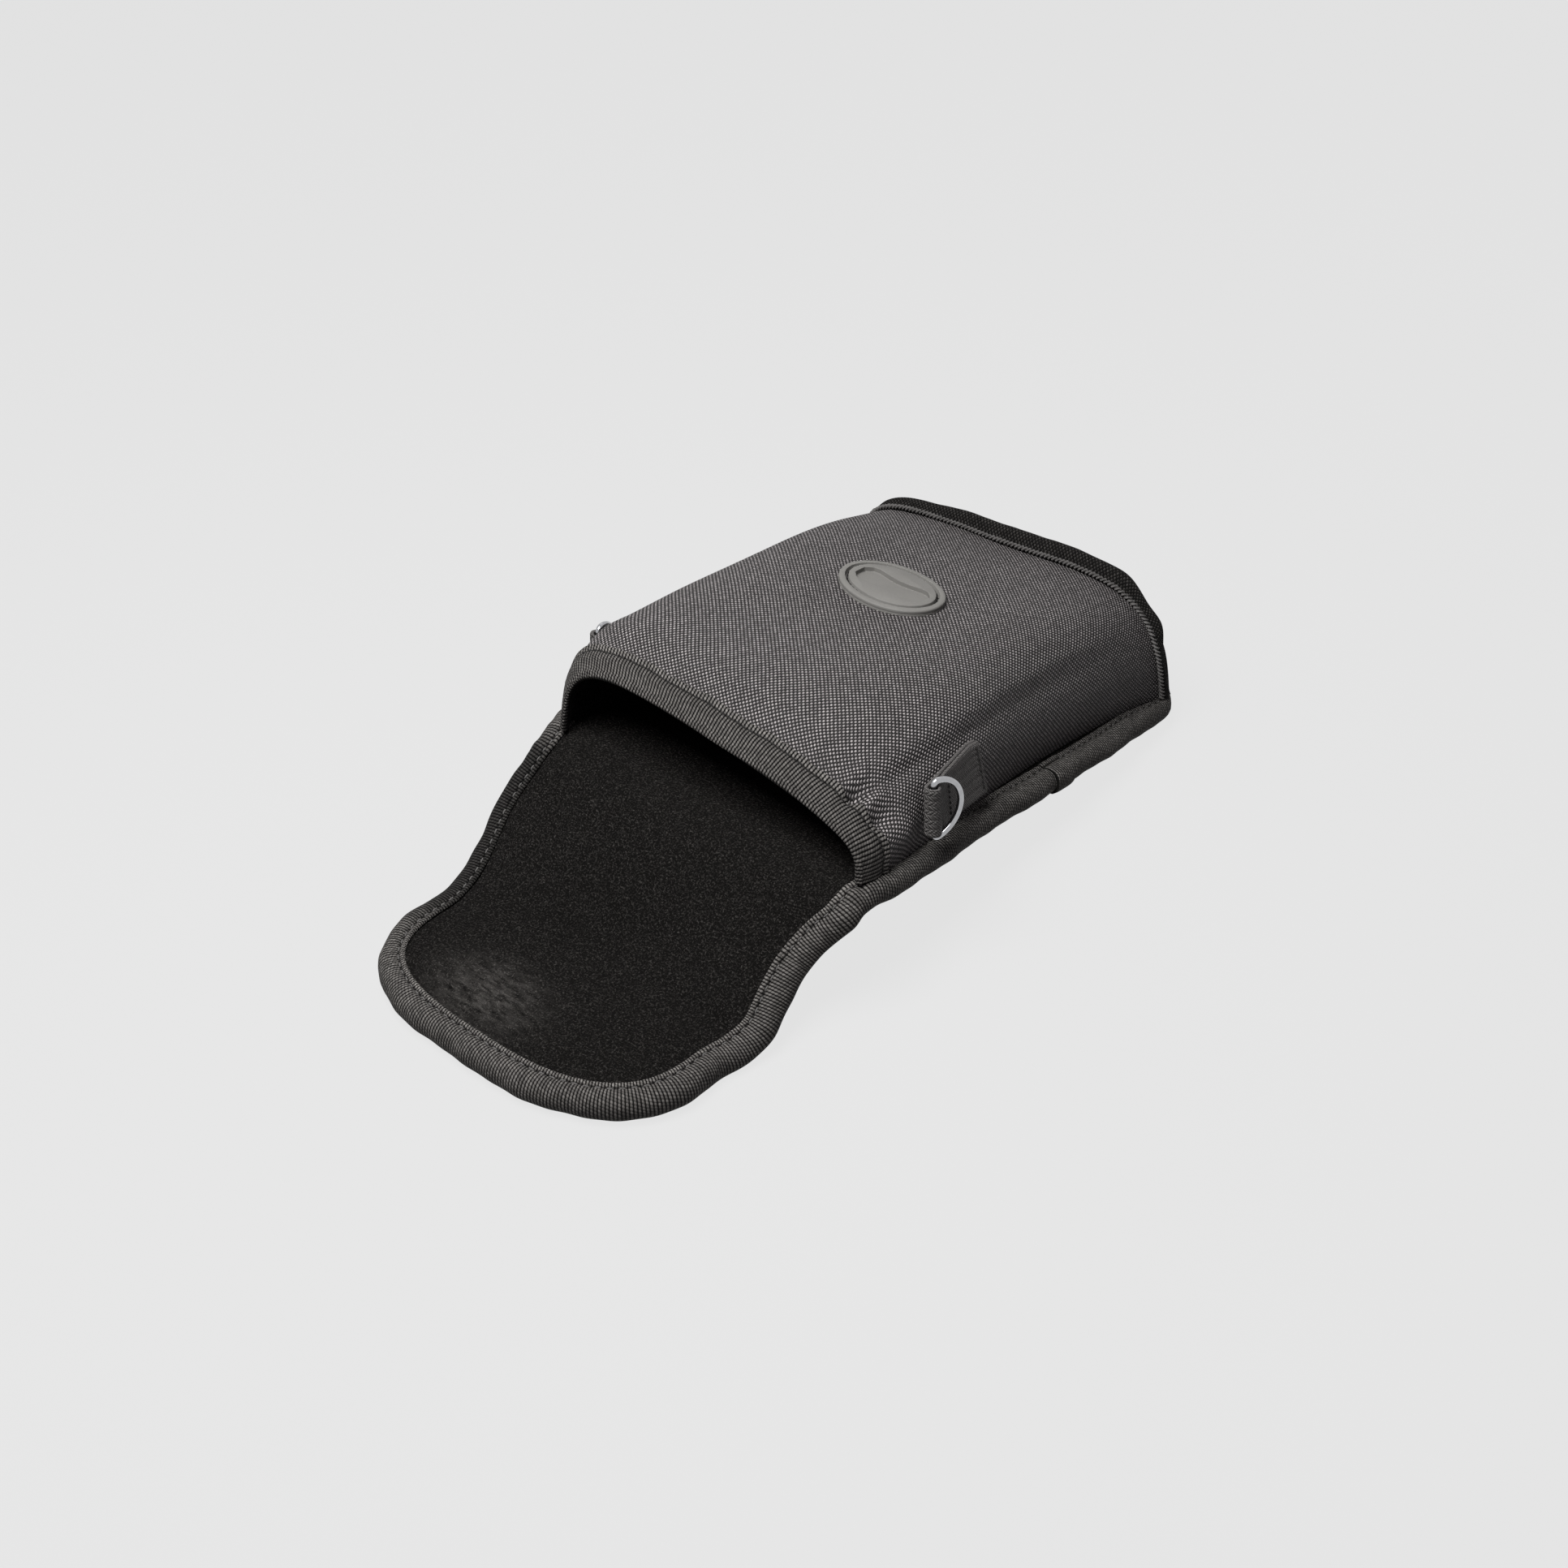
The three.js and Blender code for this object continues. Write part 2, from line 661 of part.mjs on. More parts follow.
// The webbing tab that holds the ring: sewn flat at its far end, looped round the bar on the Z axis
function tabGeometry() {
  const eye = RING_WIRE / 2 + GAP;
  const outer = eye + WEBBING;
  const flat = outer - 2 * WEBBING;
  const overlap = 0.5;
  const outline = new THREE.Shape();
  outline.moveTo(TAB_LENGTH, outer);
  outline.absarc(0, 0, outer, Math.PI / 2, (3 * Math.PI) / 2 + overlap);
  outline.lineTo(TAB_SEWN_FROM, flat);
  outline.lineTo(TAB_LENGTH, flat);
  const hole = new THREE.Path();
  hole.absarc(0, 0, eye, 0, 2 * Math.PI);
  outline.holes.push(hole);
  // Drawn from the bar to the right with the outward side down, then stood up beside the wall
  return new THREE.ExtrudeGeometry(outline, {
    depth: WEBBING_WIDTH,
    bevelEnabled: false,
    curveSegments: 12,
  })
    .translate(0, 0, -WEBBING_WIDTH / 2)
    .rotateZ(Math.PI / 2);
}

// Ring and tab on one side wall. The left pair is the right pair turned about the Y axis.
function carryingRing(side) {
  const name = side > 0 ? "right" : "left";
  const standOff = RING_WIRE / 2 + GAP + WEBBING + GAP;
  const wall = halfWidthAt(RING_Y + TAB_LENGTH / 3);
  const place = new THREE.Group();
  place.position.set(side * (wall + standOff), RING_Y, RING_Z);
  const turn = side > 0 ? -degrees(WALL_LEAN) : Math.PI + degrees(WALL_LEAN);
  place.rotation.set(degrees(TAB_RISE), turn, 0);
  const tab = part(`ring_tab_${name}`, tabGeometry(), webbingBlack);
  const ring = part(`ring_${name}`, ringGeometry(), steel);
  ring.rotation.z = -degrees(RING_ANGLE);
  place.add(tab, ring);
  return place;
}

// The badge's outline moved in by an inset
function badgeOval(inset) {
  const shape = new THREE.Shape();
  const [across, along] = [BADGE_WIDTH, BADGE_LENGTH].map((size) => size / 2 - inset);
  shape.absellipse(0, 0, across, along, 0, 2 * Math.PI, false, 0);
  return shape;
}

// Badge: a rounded rim, a sewing groove, a raised field and a bare recessed panel
function badgeGeometry() {
  const body = new THREE.ExtrudeGeometry(badgeOval(BADGE_ROUND), {
    depth: BADGE_THICKNESS - 2 * BADGE_ROUND,
    bevelSize: BADGE_ROUND,
    bevelThickness: BADGE_ROUND,
    bevelSegments: 2,
    curveSegments: 28,
  }).translate(0, 0, BADGE_ROUND);
  const band = badgeOval(BADGE_RIM);
  band.holes.push(badgeOval(BADGE_RIM + BADGE_GROOVE_WIDTH));
  const channel = new THREE.ExtrudeGeometry(band, {
    depth: BADGE_THICKNESS,
    bevelEnabled: false,
    curveSegments: 28,
  }).translate(0, 0, BADGE_THICKNESS - BADGE_GROOVE_DEPTH);
  const recess = new THREE.ExtrudeGeometry(recessShape(), {
    depth: BADGE_THICKNESS,
    bevelEnabled: false,
    curveSegments: 6,
  }).translate(0, 0, BADGE_THICKNESS - BADGE_RECESS_DEPTH);
  return cut(body, channel, recess);
}

// The recessed panel: waisted in the middle, with cut-off ends
function recessShape() {
  const half = 14;
  const end = 3;
  const swell = 6.2;
  const waist = 4.4;
  const shape = new THREE.Shape();
  shape.moveTo(half, -end);
  shape.lineTo(half, end);
  shape.quadraticCurveTo(half * 0.5, swell, 0, waist);
  shape.quadraticCurveTo(-half * 0.5, swell, -half, end);
  shape.lineTo(-half, -end);
  shape.quadraticCurveTo(-half * 0.5, -swell, 0, -waist);
  shape.quadraticCurveTo(half * 0.5, -swell, half, -end);
  return shape;
}

function badge() {
  const mesh = part("badge", badgeGeometry(), badgeRubber);
  mesh.position.set(0, BADGE_Y, sectionAt(BADGE_Y, "height") + GAP);
  mesh.rotation.x = degrees(BADGE_TILT);
  return mesh;
}

// Assembly: the tip hangs on the neck, the neck on the pouch
const tip = new THREE.Group();
tip.add(...tipParts());
tip.position.y = -NECK_LENGTH;
tip.rotation.x = -neckSlope;

const neck = new THREE.Group();
neck.add(...neckParts(), tip);
neck.position.y = HINGE_Y;
neck.rotation.x = neckBend;

const pouch = new THREE.Group();
pouch.add(
  ...shellParts(),
  part("mouth_binding", mouthBinding(), ribbedTape),
  ...endPanelParts(),
  part("end_flange_binding", endFlange(), wovenBlack),
  ...backPanelParts(),
  bindingLap(),
  badge(),
  part("closure_keeper", keeperBody(0), magnetGrey),
  carryingRing(1),
  carryingRing(-1),
  neck,
);
pouch.rotation.x = -tilt;

// The part's origin is under the middle of its bounding box, on the floor
const group = new THREE.Group();
group.add(pouch);
group.updateMatrixWorld(true);
const box = new THREE.Box3().setFromObject(group, true);
const middle = box.getCenter(new THREE.Vector3());
pouch.position.set(-middle.x, -middle.y, -box.min.z);

export default group;
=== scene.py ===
"""Padded binocular pouch, open and lying on its back, with its flap laid out in front.

Metres, +Z up. X runs across the pouch, +Y to its closed bottom end. Soft pieces are drawn in
millimetres, in the pouch's own frame (lip at y = 0, lining of the back panel at z = 0) or along
the back panel and flap, and are laid down by on_pouch() and on_panel().
"""

import json
import math

import bmesh
import bpy
import numpy as np
from mathutils import Matrix, Vector


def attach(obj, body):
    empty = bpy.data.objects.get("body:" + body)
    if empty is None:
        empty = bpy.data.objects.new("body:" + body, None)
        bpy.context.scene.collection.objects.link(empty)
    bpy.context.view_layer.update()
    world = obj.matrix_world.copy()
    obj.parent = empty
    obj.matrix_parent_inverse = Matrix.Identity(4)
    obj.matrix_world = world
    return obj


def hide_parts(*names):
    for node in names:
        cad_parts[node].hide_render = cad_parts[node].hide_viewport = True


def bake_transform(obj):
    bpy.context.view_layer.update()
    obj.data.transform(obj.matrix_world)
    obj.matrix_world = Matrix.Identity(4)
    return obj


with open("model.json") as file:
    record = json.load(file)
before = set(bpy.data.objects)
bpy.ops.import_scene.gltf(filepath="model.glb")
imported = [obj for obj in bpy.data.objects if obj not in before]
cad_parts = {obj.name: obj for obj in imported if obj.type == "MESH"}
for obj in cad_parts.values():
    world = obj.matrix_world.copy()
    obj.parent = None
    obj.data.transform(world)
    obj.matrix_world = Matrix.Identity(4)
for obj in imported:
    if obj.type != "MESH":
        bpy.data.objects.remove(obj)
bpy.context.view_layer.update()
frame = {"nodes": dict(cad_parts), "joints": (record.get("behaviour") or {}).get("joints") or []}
MM = 0.001

# ------------------------------------------------------------------ camera, light and stage

CAMERA_PLACE = (0.3545, -0.4335, 0.45787)
CAMERA_PITCH, CAMERA_HEADING = 52.08, 39.24
CAMERA_LENS = 45.65
PHOTO_GREY, ROOM_LIGHT = 0.791, 0.07
ROOM_TINT = (1.03, 0.93, 1.06)
PAPER_GREY, PAPER_GLOW, GLOW_SHARE = 0.2, 0.885, 0.85
WHITE, BLACK = (1, 1, 1), (0, 0, 0)


def add_object(name, data):
    made = bpy.data.objects.new(name, data)
    bpy.context.collection.objects.link(made)
    return made


def add_shape(operator, name, **shape):
    """A new mesh from one of Blender's own shapes, alone in the selection."""
    bpy.ops.object.select_all(action="DESELECT")
    operator(**shape)
    piece = bpy.context.object
    piece.name = name
    return piece


def place_camera():
    lens = bpy.data.cameras.new("photo_camera")
    lens.lens, lens.sensor_width = CAMERA_LENS, 36
    lens.clip_start, lens.clip_end = 0.01, 30
    camera = add_object("photo_camera", lens)
    camera.location = CAMERA_PLACE
    camera.rotation_euler = (math.radians(CAMERA_PITCH), 0, math.radians(CAMERA_HEADING))
    bpy.context.scene.camera = camera


def softbox(name, way, distance, size, power):
    """A square lamp that looks at the middle of the pouch from the given way."""
    lamp = bpy.data.lights.new(name, "AREA")
    lamp.size, lamp.energy = size, power
    holder = add_object(name, lamp)
    way = Vector(way).normalized()
    holder.location = way * distance + Vector((0, 0, 0.03))
    holder.rotation_mode = "QUATERNION"
    holder.rotation_quaternion = way.to_track_quat("Z", "Y")


def seen_directly(beside):
    """1 for rays from the camera, or through a reflection or glass."""
    path = new_node(beside, "LightPath").outputs
    seen = add(path["Is Camera Ray"], path["Is Glossy Ray"])
    return maths("ADD", seen, path["Is Transmission Ray"], clamp=True)


def light_the_room():
    bpy.context.scene.view_settings.view_transform = "Standard"
    world = bpy.data.worlds.new("studio")
    bpy.context.scene.world = world
    world.use_nodes = True
    background = world.node_tree.nodes["Background"]
    direct = seen_directly(background)
    strength = mix_value(direct, ROOM_LIGHT, PHOTO_GREY)
    fill(background, {"Strength": strength, "Color": mix_colour(direct, ROOM_TINT, WHITE)})
    softbox("key_softbox", (-0.05, -0.34, 0.91), 0.66, 0.36, 7.0)
    softbox("back_softbox", (-0.5, 0.7, 0.6), 1.8, 0.8, 0.9)


def lay_floor():
    floor = add_shape(bpy.ops.mesh.primitive_plane_add, "studio_floor", size=8)
    paper = bpy.data.materials.new("pale_paper")
    paper.use_nodes = True
    paper.node_tree.nodes.clear()
    out = paper.node_tree.nodes.new("ShaderNodeOutputMaterial")
    matt = fill(new_node(out, "BsdfDiffuse"), {"Color": (*[PAPER_GREY] * 3, 1)})
    glow = fill(new_node(out, "Emission"), {"Color": (*[PAPER_GLOW] * 3, 1)})
    share = mix_value(seen_directly(out), 0.0, GLOW_SHARE)
    both = fill(new_node(out, "MixShader"), {0: share, 1: matt.outputs[0], 2: glow.outputs[0]})
    fill(out, {0: both.outputs[0]})
    floor.data.materials.append(paper)


# ------------------------------------------------------------------ nodes of the finishes


def new_node(beside, kind):
    """A shader node in the tree of another node or of one of its sockets."""
    return beside.id_data.nodes.new("ShaderNode" + kind)


def fill(node, inputs):
    """Links or sets the node's inputs, each given by its number or name."""
    for key, value in inputs.items():
        if isinstance(value, bpy.types.NodeSocket):
            node.id_data.links.new(value, node.inputs[key])
        else:
            node.inputs[key].default_value = value
    return node


def maths(operation, *values, clamp=False):
    n = new_node(values[0], "Math")
    n.operation, n.use_clamp = operation, clamp
    return fill(n, dict(enumerate(values))).outputs[0]


def add(a, b):
    return maths("ADD", a, b)


def times(product, *factors):
    for factor in factors:
        product = maths("MULTIPLY", product, factor)
    return product


def mix_value(share, low, high):
    n = new_node(share, "Mix")
    n.data_type = "FLOAT"
    return fill(n, {0: share, 2: low, 3: high}).outputs[0]


def mix_colour(share, low, high):
    n = new_node(share, "Mix")
    n.data_type = "RGBA"
    low, high = ((*c, 1) if isinstance(c, tuple) else c for c in (low, high))
    return fill(n, {0: share, 6: low, 7: high}).outputs[2]


def between(value, low, high, to_low=0.0, to_high=1.0):
    n = new_node(value, "MapRange")
    n.interpolation_type = "SMOOTHSTEP"
    return fill(n, dict(enumerate((value, low, high, to_low, to_high)))).outputs[0]


def noise(vector, scale, detail=2.0, roughness=0.5):
    inputs = {"Vector": vector, "Scale": scale, "Detail": detail, "Roughness": roughness}
    return fill(new_node(vector, "TexNoise"), inputs).outputs["Fac"]


def stretched(vector, scale, turn=0.0):
    inputs = {"Vector": vector, "Scale": scale, "Rotation": (0, 0, math.radians(turn))}
    return fill(new_node(vector, "Mapping"), inputs).outputs[0]


def random_of(*numbers):
    vector = fill(new_node(numbers[0], "CombineXYZ"), dict(enumerate(numbers))).outputs[0]
    n = new_node(vector, "TexWhiteNoise")
    n.noise_dimensions = "3D"
    return fill(n, {"Vector": vector}).outputs["Value"]


def two_directions(shader):
    """The two directions of the piece's own cloth, in metres, and both as a vector."""
    uv = new_node(shader, "UVMap")
    uv.uv_map = "cloth"
    parts = fill(new_node(shader, "SeparateXYZ"), {0: uv.outputs[0]}).outputs
    return parts[0], parts[1], uv.outputs[0]


def in_place(shader):
    return new_node(shader, "TexCoord").outputs["Object"]


def start_finish(name, roughness, specular, metallic=0.0):
    finish = bpy.data.materials.new(name)
    finish.use_nodes = True
    shader = finish.node_tree.nodes["Principled BSDF"]
    fill(shader, {"Roughness": roughness, "Specular IOR Level": specular, "Metallic": metallic})
    return finish, shader


def raise_surface(shader, height, relief):
    inputs = {"Strength": 1.0, "Distance": relief, "Height": height}
    fill(shader, {"Normal": fill(new_node(shader, "Bump"), inputs).outputs[0]})


def tint_grey(shader, shade, tint):
    fill(shader, {"Base Color": mix_colour(shade, BLACK, tint)})


def thread_wave(coordinate, pitch, power):
    """Across a row of threads: 1 on each thread's crown and 0 between two threads."""
    wave = maths("SINE", times(coordinate, math.pi / pitch))
    return maths("POWER", maths("ABSOLUTE", wave), power)


def thread_number(coordinate, pitch):
    return maths("FLOOR", maths("DIVIDE", coordinate, pitch))


def plain_weave(across, along, pitch):
    """Number of the thread along and of the one across, and which of them lies on top."""
    column, row = thread_number(across, pitch), thread_number(along, pitch)
    return column, row, maths("ABSOLUTE", maths("MODULO", add(column, row), 2.0))


def coarse_plain_weave():
    """Grey outer cloth: pale and dark threads, one over one."""
    finish, shader = start_finish("coarse_plain_weave", 0.6, 0.12)
    across, along, uv = two_directions(shader)
    pitch, pale, dark = 0.00088, 0.295, 0.024
    wander = add(noise(uv, 60), -0.5)
    across = add(across, times(wander, 0.0011))
    along = add(along, times(wander, 0.0009))
    column, row, over = plain_weave(across, along, pitch)
    wide = [thread_wave(c, pitch, 0.8) for c in (across, along)]
    long = [thread_wave(c, pitch, 0.4) for c in (across, along)]
    height = mix_value(over, times(wide[0], long[1]), times(long[0], wide[1]))
    fibres, patches = noise(uv, 4200), noise(uv, 26, 3)
    thread = mix_value(over, random_of(column, 7.0), random_of(row, 3.0))
    shade = times(
        mix_value(over, pale, dark),
        mix_value(thread, 0.93, 1.07),
        mix_value(random_of(column, row), 0.7, 1.3),
        between(height, 0.08, 0.8, 0.06, 1.0),
        mix_value(fibres, 0.75, 1.25),
        mix_value(patches, 0.92, 1.08),
    )
    tint_grey(shader, shade, (1.0, 0.93, 0.925))
    raise_surface(shader, add(height, times(fibres, 0.25)), 0.00032)
    return finish


def fine_black_canvas():
    finish, shader = start_finish("fine_black_canvas", 0.8, 0.06)
    across, along, uv = two_directions(shader)
    pitch, pale, dark = 0.00075, 0.032, 0.005
    column, row, over = plain_weave(across, along, pitch)
    height = times(thread_wave(across, pitch, 0.6), thread_wave(along, pitch, 0.6))
    fibres, patches = noise(uv, 5200), noise(uv, 40, 3)
    shade = times(
        mix_value(over, pale, dark),
        mix_value(random_of(column, row), 0.6, 1.4),
        between(height, 0.0, 0.7, 0.15, 1.1),
        mix_value(fibres, 0.7, 1.3),
        mix_value(patches, 0.85, 1.15),
    )
    tint_grey(shader, shade, (1.0, 0.94, 0.89))
    raise_surface(shader, add(height, times(fibres, 0.4)), 0.00022)
    return finish


def fine_hairs(uv, scale, turn):
    """Thin curling lines: 1 on a hair and 0 beside it."""
    cells = noise(stretched(uv, scale, turn), 1, 2, 0.6)
    ridge = maths("ABSOLUTE", add(times(cells, 2.0), -1.0))
    return between(ridge, 0.0, 0.11, 1.0, 0.0)


def brushed_loop_lining():
    """Black loop cloth with a fine hairy nap, paler in a streaky patch near the tip."""
    finish, shader = start_finish("brushed_loop_lining", 0.95, 0.03)
    uv = two_directions(shader)[2]
    patch_x, patch_s, narrowed = -0.014, 0.306, 1.5
    hair = add(fine_hairs(uv, (420, 1100, 1), 35), fine_hairs(uv, (1000, 480, 1), -20))
    nap = times(hair, between(noise(uv, 1300), 0.38, 0.66))
    shade = add(times(nap, 0.06), 0.0045)
    shade = times(shade, mix_value(noise(uv, 22, 3), 0.8, 1.2))
    # A paler streaky patch near the tip of the flap's lining.
    away = new_node(shader, "VectorMath")
    away.operation = "DISTANCE"
    fill(away, {0: stretched(uv, (1, narrowed, 1)), 1: (patch_x, patch_s * narrowed, 0)})
    near = between(away.outputs["Value"], 0.004, 0.042, 1.0, 0.0)
    streaks = noise(stretched(uv, (160, 520, 1), 24), 1, 3, 0.7)
    pale_patch = times(near, near, between(streaks, 0.30, 0.80))
    shade = add(shade, times(pale_patch, add(times(nap, 0.10), 0.055)))
    tint_grey(shader, shade, (1.0, 0.94, 0.88))
    raise_surface(shader, nap, 0.0005)
    return finish


def ribbed_tape(name, low, high, gap, rib_pitch, seam_at):
    """Grosgrain: ribs across the tape, threads along it; painted shade darkens it where the
    attribute named nap says.
    """
    finish, shader = start_finish(name, 0.7, 0.06)
    along, across, uv = two_directions(shader)
    row_pitch, slant, seam_reach = 0.0012, 0.45, 0.0009
    along = add(along, times(add(noise(uv, 90), -0.5), 0.0006))
    rows_at = add(across, times(along, slant))
    rib, row = thread_wave(along, rib_pitch, 0.8), thread_wave(rows_at, row_pitch, 0.5)
    height = times(rib, mix_value(row, 0.45, 1.0))
    fibres, patches = noise(uv, 4800), noise(uv, 45, 3)
    knot = random_of(thread_number(along, rib_pitch), thread_number(rows_at, row_pitch))
    beside = maths("ABSOLUTE", add(across, -seam_at))
    # Painted shade: where the attribute named nap is 1, the tape is darkened to a quarter.
    painted_shade = new_node(shader, "Attribute")
    painted_shade.attribute_name = "nap"
    shade = times(
        mix_value(knot, low, high),
        between(height, 0.4, 0.85, gap, 1.0),
        mix_value(fibres, 0.7, 1.3),
        mix_value(patches, 0.8, 1.2),
        between(beside, 0.0001, seam_reach, 0.2, 1.0),
        between(across, seam_at - 0.0008, seam_at, 1.35, 1.0),
        mix_value(painted_shade.outputs["Fac"], 1.0, 0.25),
    )
    tint_grey(shader, shade, (1.0, 0.945, 0.89))
    raise_surface(shader, add(height, times(fibres, 0.3)), 0.0003)
    return finish


def black_webbing():
    """Strap woven in broad herringbone columns, with a pale oversewn edge on both sides."""
    finish, shader = start_finish("black_webbing", 0.6, 0.08)
    along, across, uv = two_directions(shader)
    column, rib_pitch, middle_at = 0.0019, 0.00135, 0.0098
    slant = add(along, times(maths("PINGPONG", across, column), 0.7))
    height = times(thread_wave(slant, rib_pitch, 0.7), thread_wave(across, column, 0.45))
    fibres = noise(uv, 3600, 3)
    knot = random_of(thread_number(slant, rib_pitch), thread_number(across, column))
    shade = times(mix_value(knot, 0.07, 0.15), between(height, 0.35, 0.75, 0.02, 1.0))
    edge = between(maths("ABSOLUTE", add(across, -middle_at)), 0.0078, 0.0082)
    oversewn = thread_wave(add(along, times(across, 0.8)), 0.0009, 0.8)
    shade = mix_value(edge, shade, times(add(oversewn, 0.05), 0.15))
    tint_grey(shader, times(shade, mix_value(fibres, 0.7, 1.3)), (1.0, 0.95, 0.92))
    raise_surface(shader, add(height, times(fibres, 0.25)), 0.00045)
    return finish


def sewing_thread(name, level):
    finish, shader = start_finish(name, 0.6, 0.1)
    twist = noise(stretched(in_place(shader), (2600, 2600, 2600)), 1)
    tint_grey(shader, times(mix_value(twist, 0.6, 1.4), level), (1.0, 0.96, 0.93))
    return finish


def plated_wire():
    finish, shader = start_finish("plated_wire", 0.12, 0.5, metallic=1.0)
    spots = noise(in_place(shader), 900, 3)
    tone = mix_colour(spots, (0.37, 0.37, 0.385), (0.52, 0.525, 0.54))
    fill(shader, {"Base Color": tone, "Roughness": mix_value(spots, 0.06, 0.2)})
    return finish


def plain_steel_plate():
    finish, shader = start_finish("plain_steel_plate", 0.35, 0.5, metallic=1.0)
    lines = noise(stretched(in_place(shader), (80, 6000, 80)), 1)
    tone = mix_colour(lines, (0.26, 0.265, 0.27), (0.4, 0.405, 0.41))
    fill(shader, {"Base Color": tone})
    raise_surface(shader, lines, 0.00002)
    return finish


def moulded_rubber():
    finish, shader = start_finish("moulded_rubber", 0.62, 0.2)
    where = in_place(shader)
    grain = noise(where, 2600)
    tone = mix_colour(noise(where, 90, 3), (0.155, 0.151, 0.141), (0.205, 0.2, 0.188))
    tone = mix_colour(between(grain, 0.3, 0.75, 0.0, 0.22), tone, (0.115, 0.112, 0.104))
    fill(shader, {"Base Color": tone})
    raise_surface(shader, grain, 0.00006)
    return finish


# ------------------------------------------------------------------ lines and meshes


def unit(ways):
    return ways / np.linalg.norm(ways, axis=-1, keepdims=True)


def turned_right(ways):
    """Ways in a plane, turned by a right angle."""
    return np.stack([ways[..., 1], -ways[..., 0]], -1)


def lengths(points):
    """How far along a path each of its points lies."""
    return np.concatenate([[0], np.cumsum(np.linalg.norm(np.diff(points, axis=0), axis=1))])


def sample(at, reach, points):
    """The path's point at a length along it, or its points at a row of lengths."""
    return np.stack([np.interp(at, reach, points[:, k]) for k in range(points.shape[1])], -1)


def spaced_evenly(points, step):
    """The same path with points about a step apart, and their lengths along it."""
    reach = lengths(points)
    at = np.linspace(0, reach[-1], max(2, int(round(reach[-1] / step)) + 1))
    return sample(at, reach, points), at


def eased(row, rounds):
    for _ in range(rounds):
        row[1:-1] = (row[:-2] + 2 * row[1:-1] + row[2:]) / 4
    return row


def smooth_steps(value, low, high):
    t = np.clip((np.asarray(value, float) - low) / (high - low), 0, 1)
    return t * t * (3 - 2 * t)


def curve_through(where, stops, values):
    """Smooth values between given stops, level at both ends."""
    stops, values = np.asarray(stops, float), np.asarray(values, float)
    slope = np.gradient(values, stops)
    slope[0] = slope[-1] = 0
    x = np.clip(where, stops[0], stops[-1])
    i = np.clip(np.searchsorted(stops, x, side="right") - 1, 0, len(stops) - 2)
    h = stops[i + 1] - stops[i]
    t = (x - stops[i]) / h
    return (
        values[i] * (1 + 2 * t) * (1 - t) ** 2
        + slope[i] * h * t * (1 - t) ** 2
        + values[i + 1] * t * t * (3 - 2 * t)
        + slope[i + 1] * h * t * t * (t - 1)
    )


def ripple(where, *waves):
    """Sum of sines, each given as length, height and shift."""
    return sum(
        height * np.sin(2 * math.pi * where / length + shift) for length, height, shift in waves
    )


def moved(points, matrix):
    turned = np.array(matrix)
    return points @ turned[:3, :3].T + turned[:3, 3]


def finish_piece(name, points, faces, finish, uv=None):
    """A mesh from points in metres and faces, each corner with its place on the cloth."""
    mesh = bpy.data.meshes.new(name)
    mesh.from_pydata([tuple(p) for p in points], [], faces)
    if uv is not None:
        layer = mesh.uv_layers.new(name="cloth")
        flat = np.array([corner for face in uv for corner in face], np.float32)
        layer.data.foreach_set("uv", flat.ravel())
    piece = add_object(name, mesh)
    mesh.materials.append(finish)
    shade_smooth(piece)
    face_outwards(piece)
    return piece


def belongs(piece, slot, body, *nodes):
    """Puts a piece under its body and hides the CAD nodes it stands in for; the slot is not used.
    """
    if nodes:
        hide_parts(*nodes)
    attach(piece, body)


def paint_shade(piece, amounts):
    """Painted shade on the cloth, from 0 to 1 at each point, kept in the attribute named nap."""
    layer = piece.data.attributes.new("nap", "FLOAT", "POINT")
    layer.data.foreach_set("value", np.asarray(amounts, np.float32))


def shade_smooth(piece):
    piece.data.polygons.foreach_set("use_smooth", [True] * len(piece.data.polygons))
    piece.data.set_sharp_from_angle(angle=math.radians(50))


def face_outwards(piece):
    bm = bmesh.new()
    bm.from_mesh(piece.data)
    if bm.calc_volume(signed=True) < 0:
        bmesh.ops.reverse_faces(bm, faces=bm.faces)
    bm.to_mesh(piece.data)
    bm.free()


def tube_faces(rows, columns, base=0):
    """Quads round a closed profile that is swept over rows of points."""
    return [
        (base + i * columns + j, base + (i + 1) * columns + j,
         base + (i + 1) * columns + (j + 1) % columns, base + i * columns + (j + 1) % columns)
        for i in range(rows - 1)
        for j in range(columns)
    ]


def swept(name, grid, finish):
    """A closed profile swept along a path: grid is rows x columns x 3, in metres."""
    rows, columns = grid.shape[:2]
    ring = np.concatenate([grid, grid[:, :1]], 1)
    v = np.concatenate([[0], np.cumsum(np.linalg.norm(np.diff(ring, axis=1), axis=2).mean(0))])
    u = np.concatenate([[0], np.cumsum(np.linalg.norm(np.diff(grid, axis=0), axis=2).mean(1))])
    faces = tube_faces(rows, columns)
    uv = [
        [(u[i], v[j]), (u[i + 1], v[j]), (u[i + 1], v[j + 1]), (u[i], v[j + 1])]
        for i in range(rows - 1)
        for j in range(columns)
    ]
    first, last = list(range(columns)), [(rows - 1) * columns + j for j in range(columns)]
    for cap in (first, last[::-1]):
        faces.append(tuple(cap))
        uv.append([(0, v[j]) for j in range(columns)])
    return finish_piece(name, grid.reshape(-1, 3), faces, finish, uv)


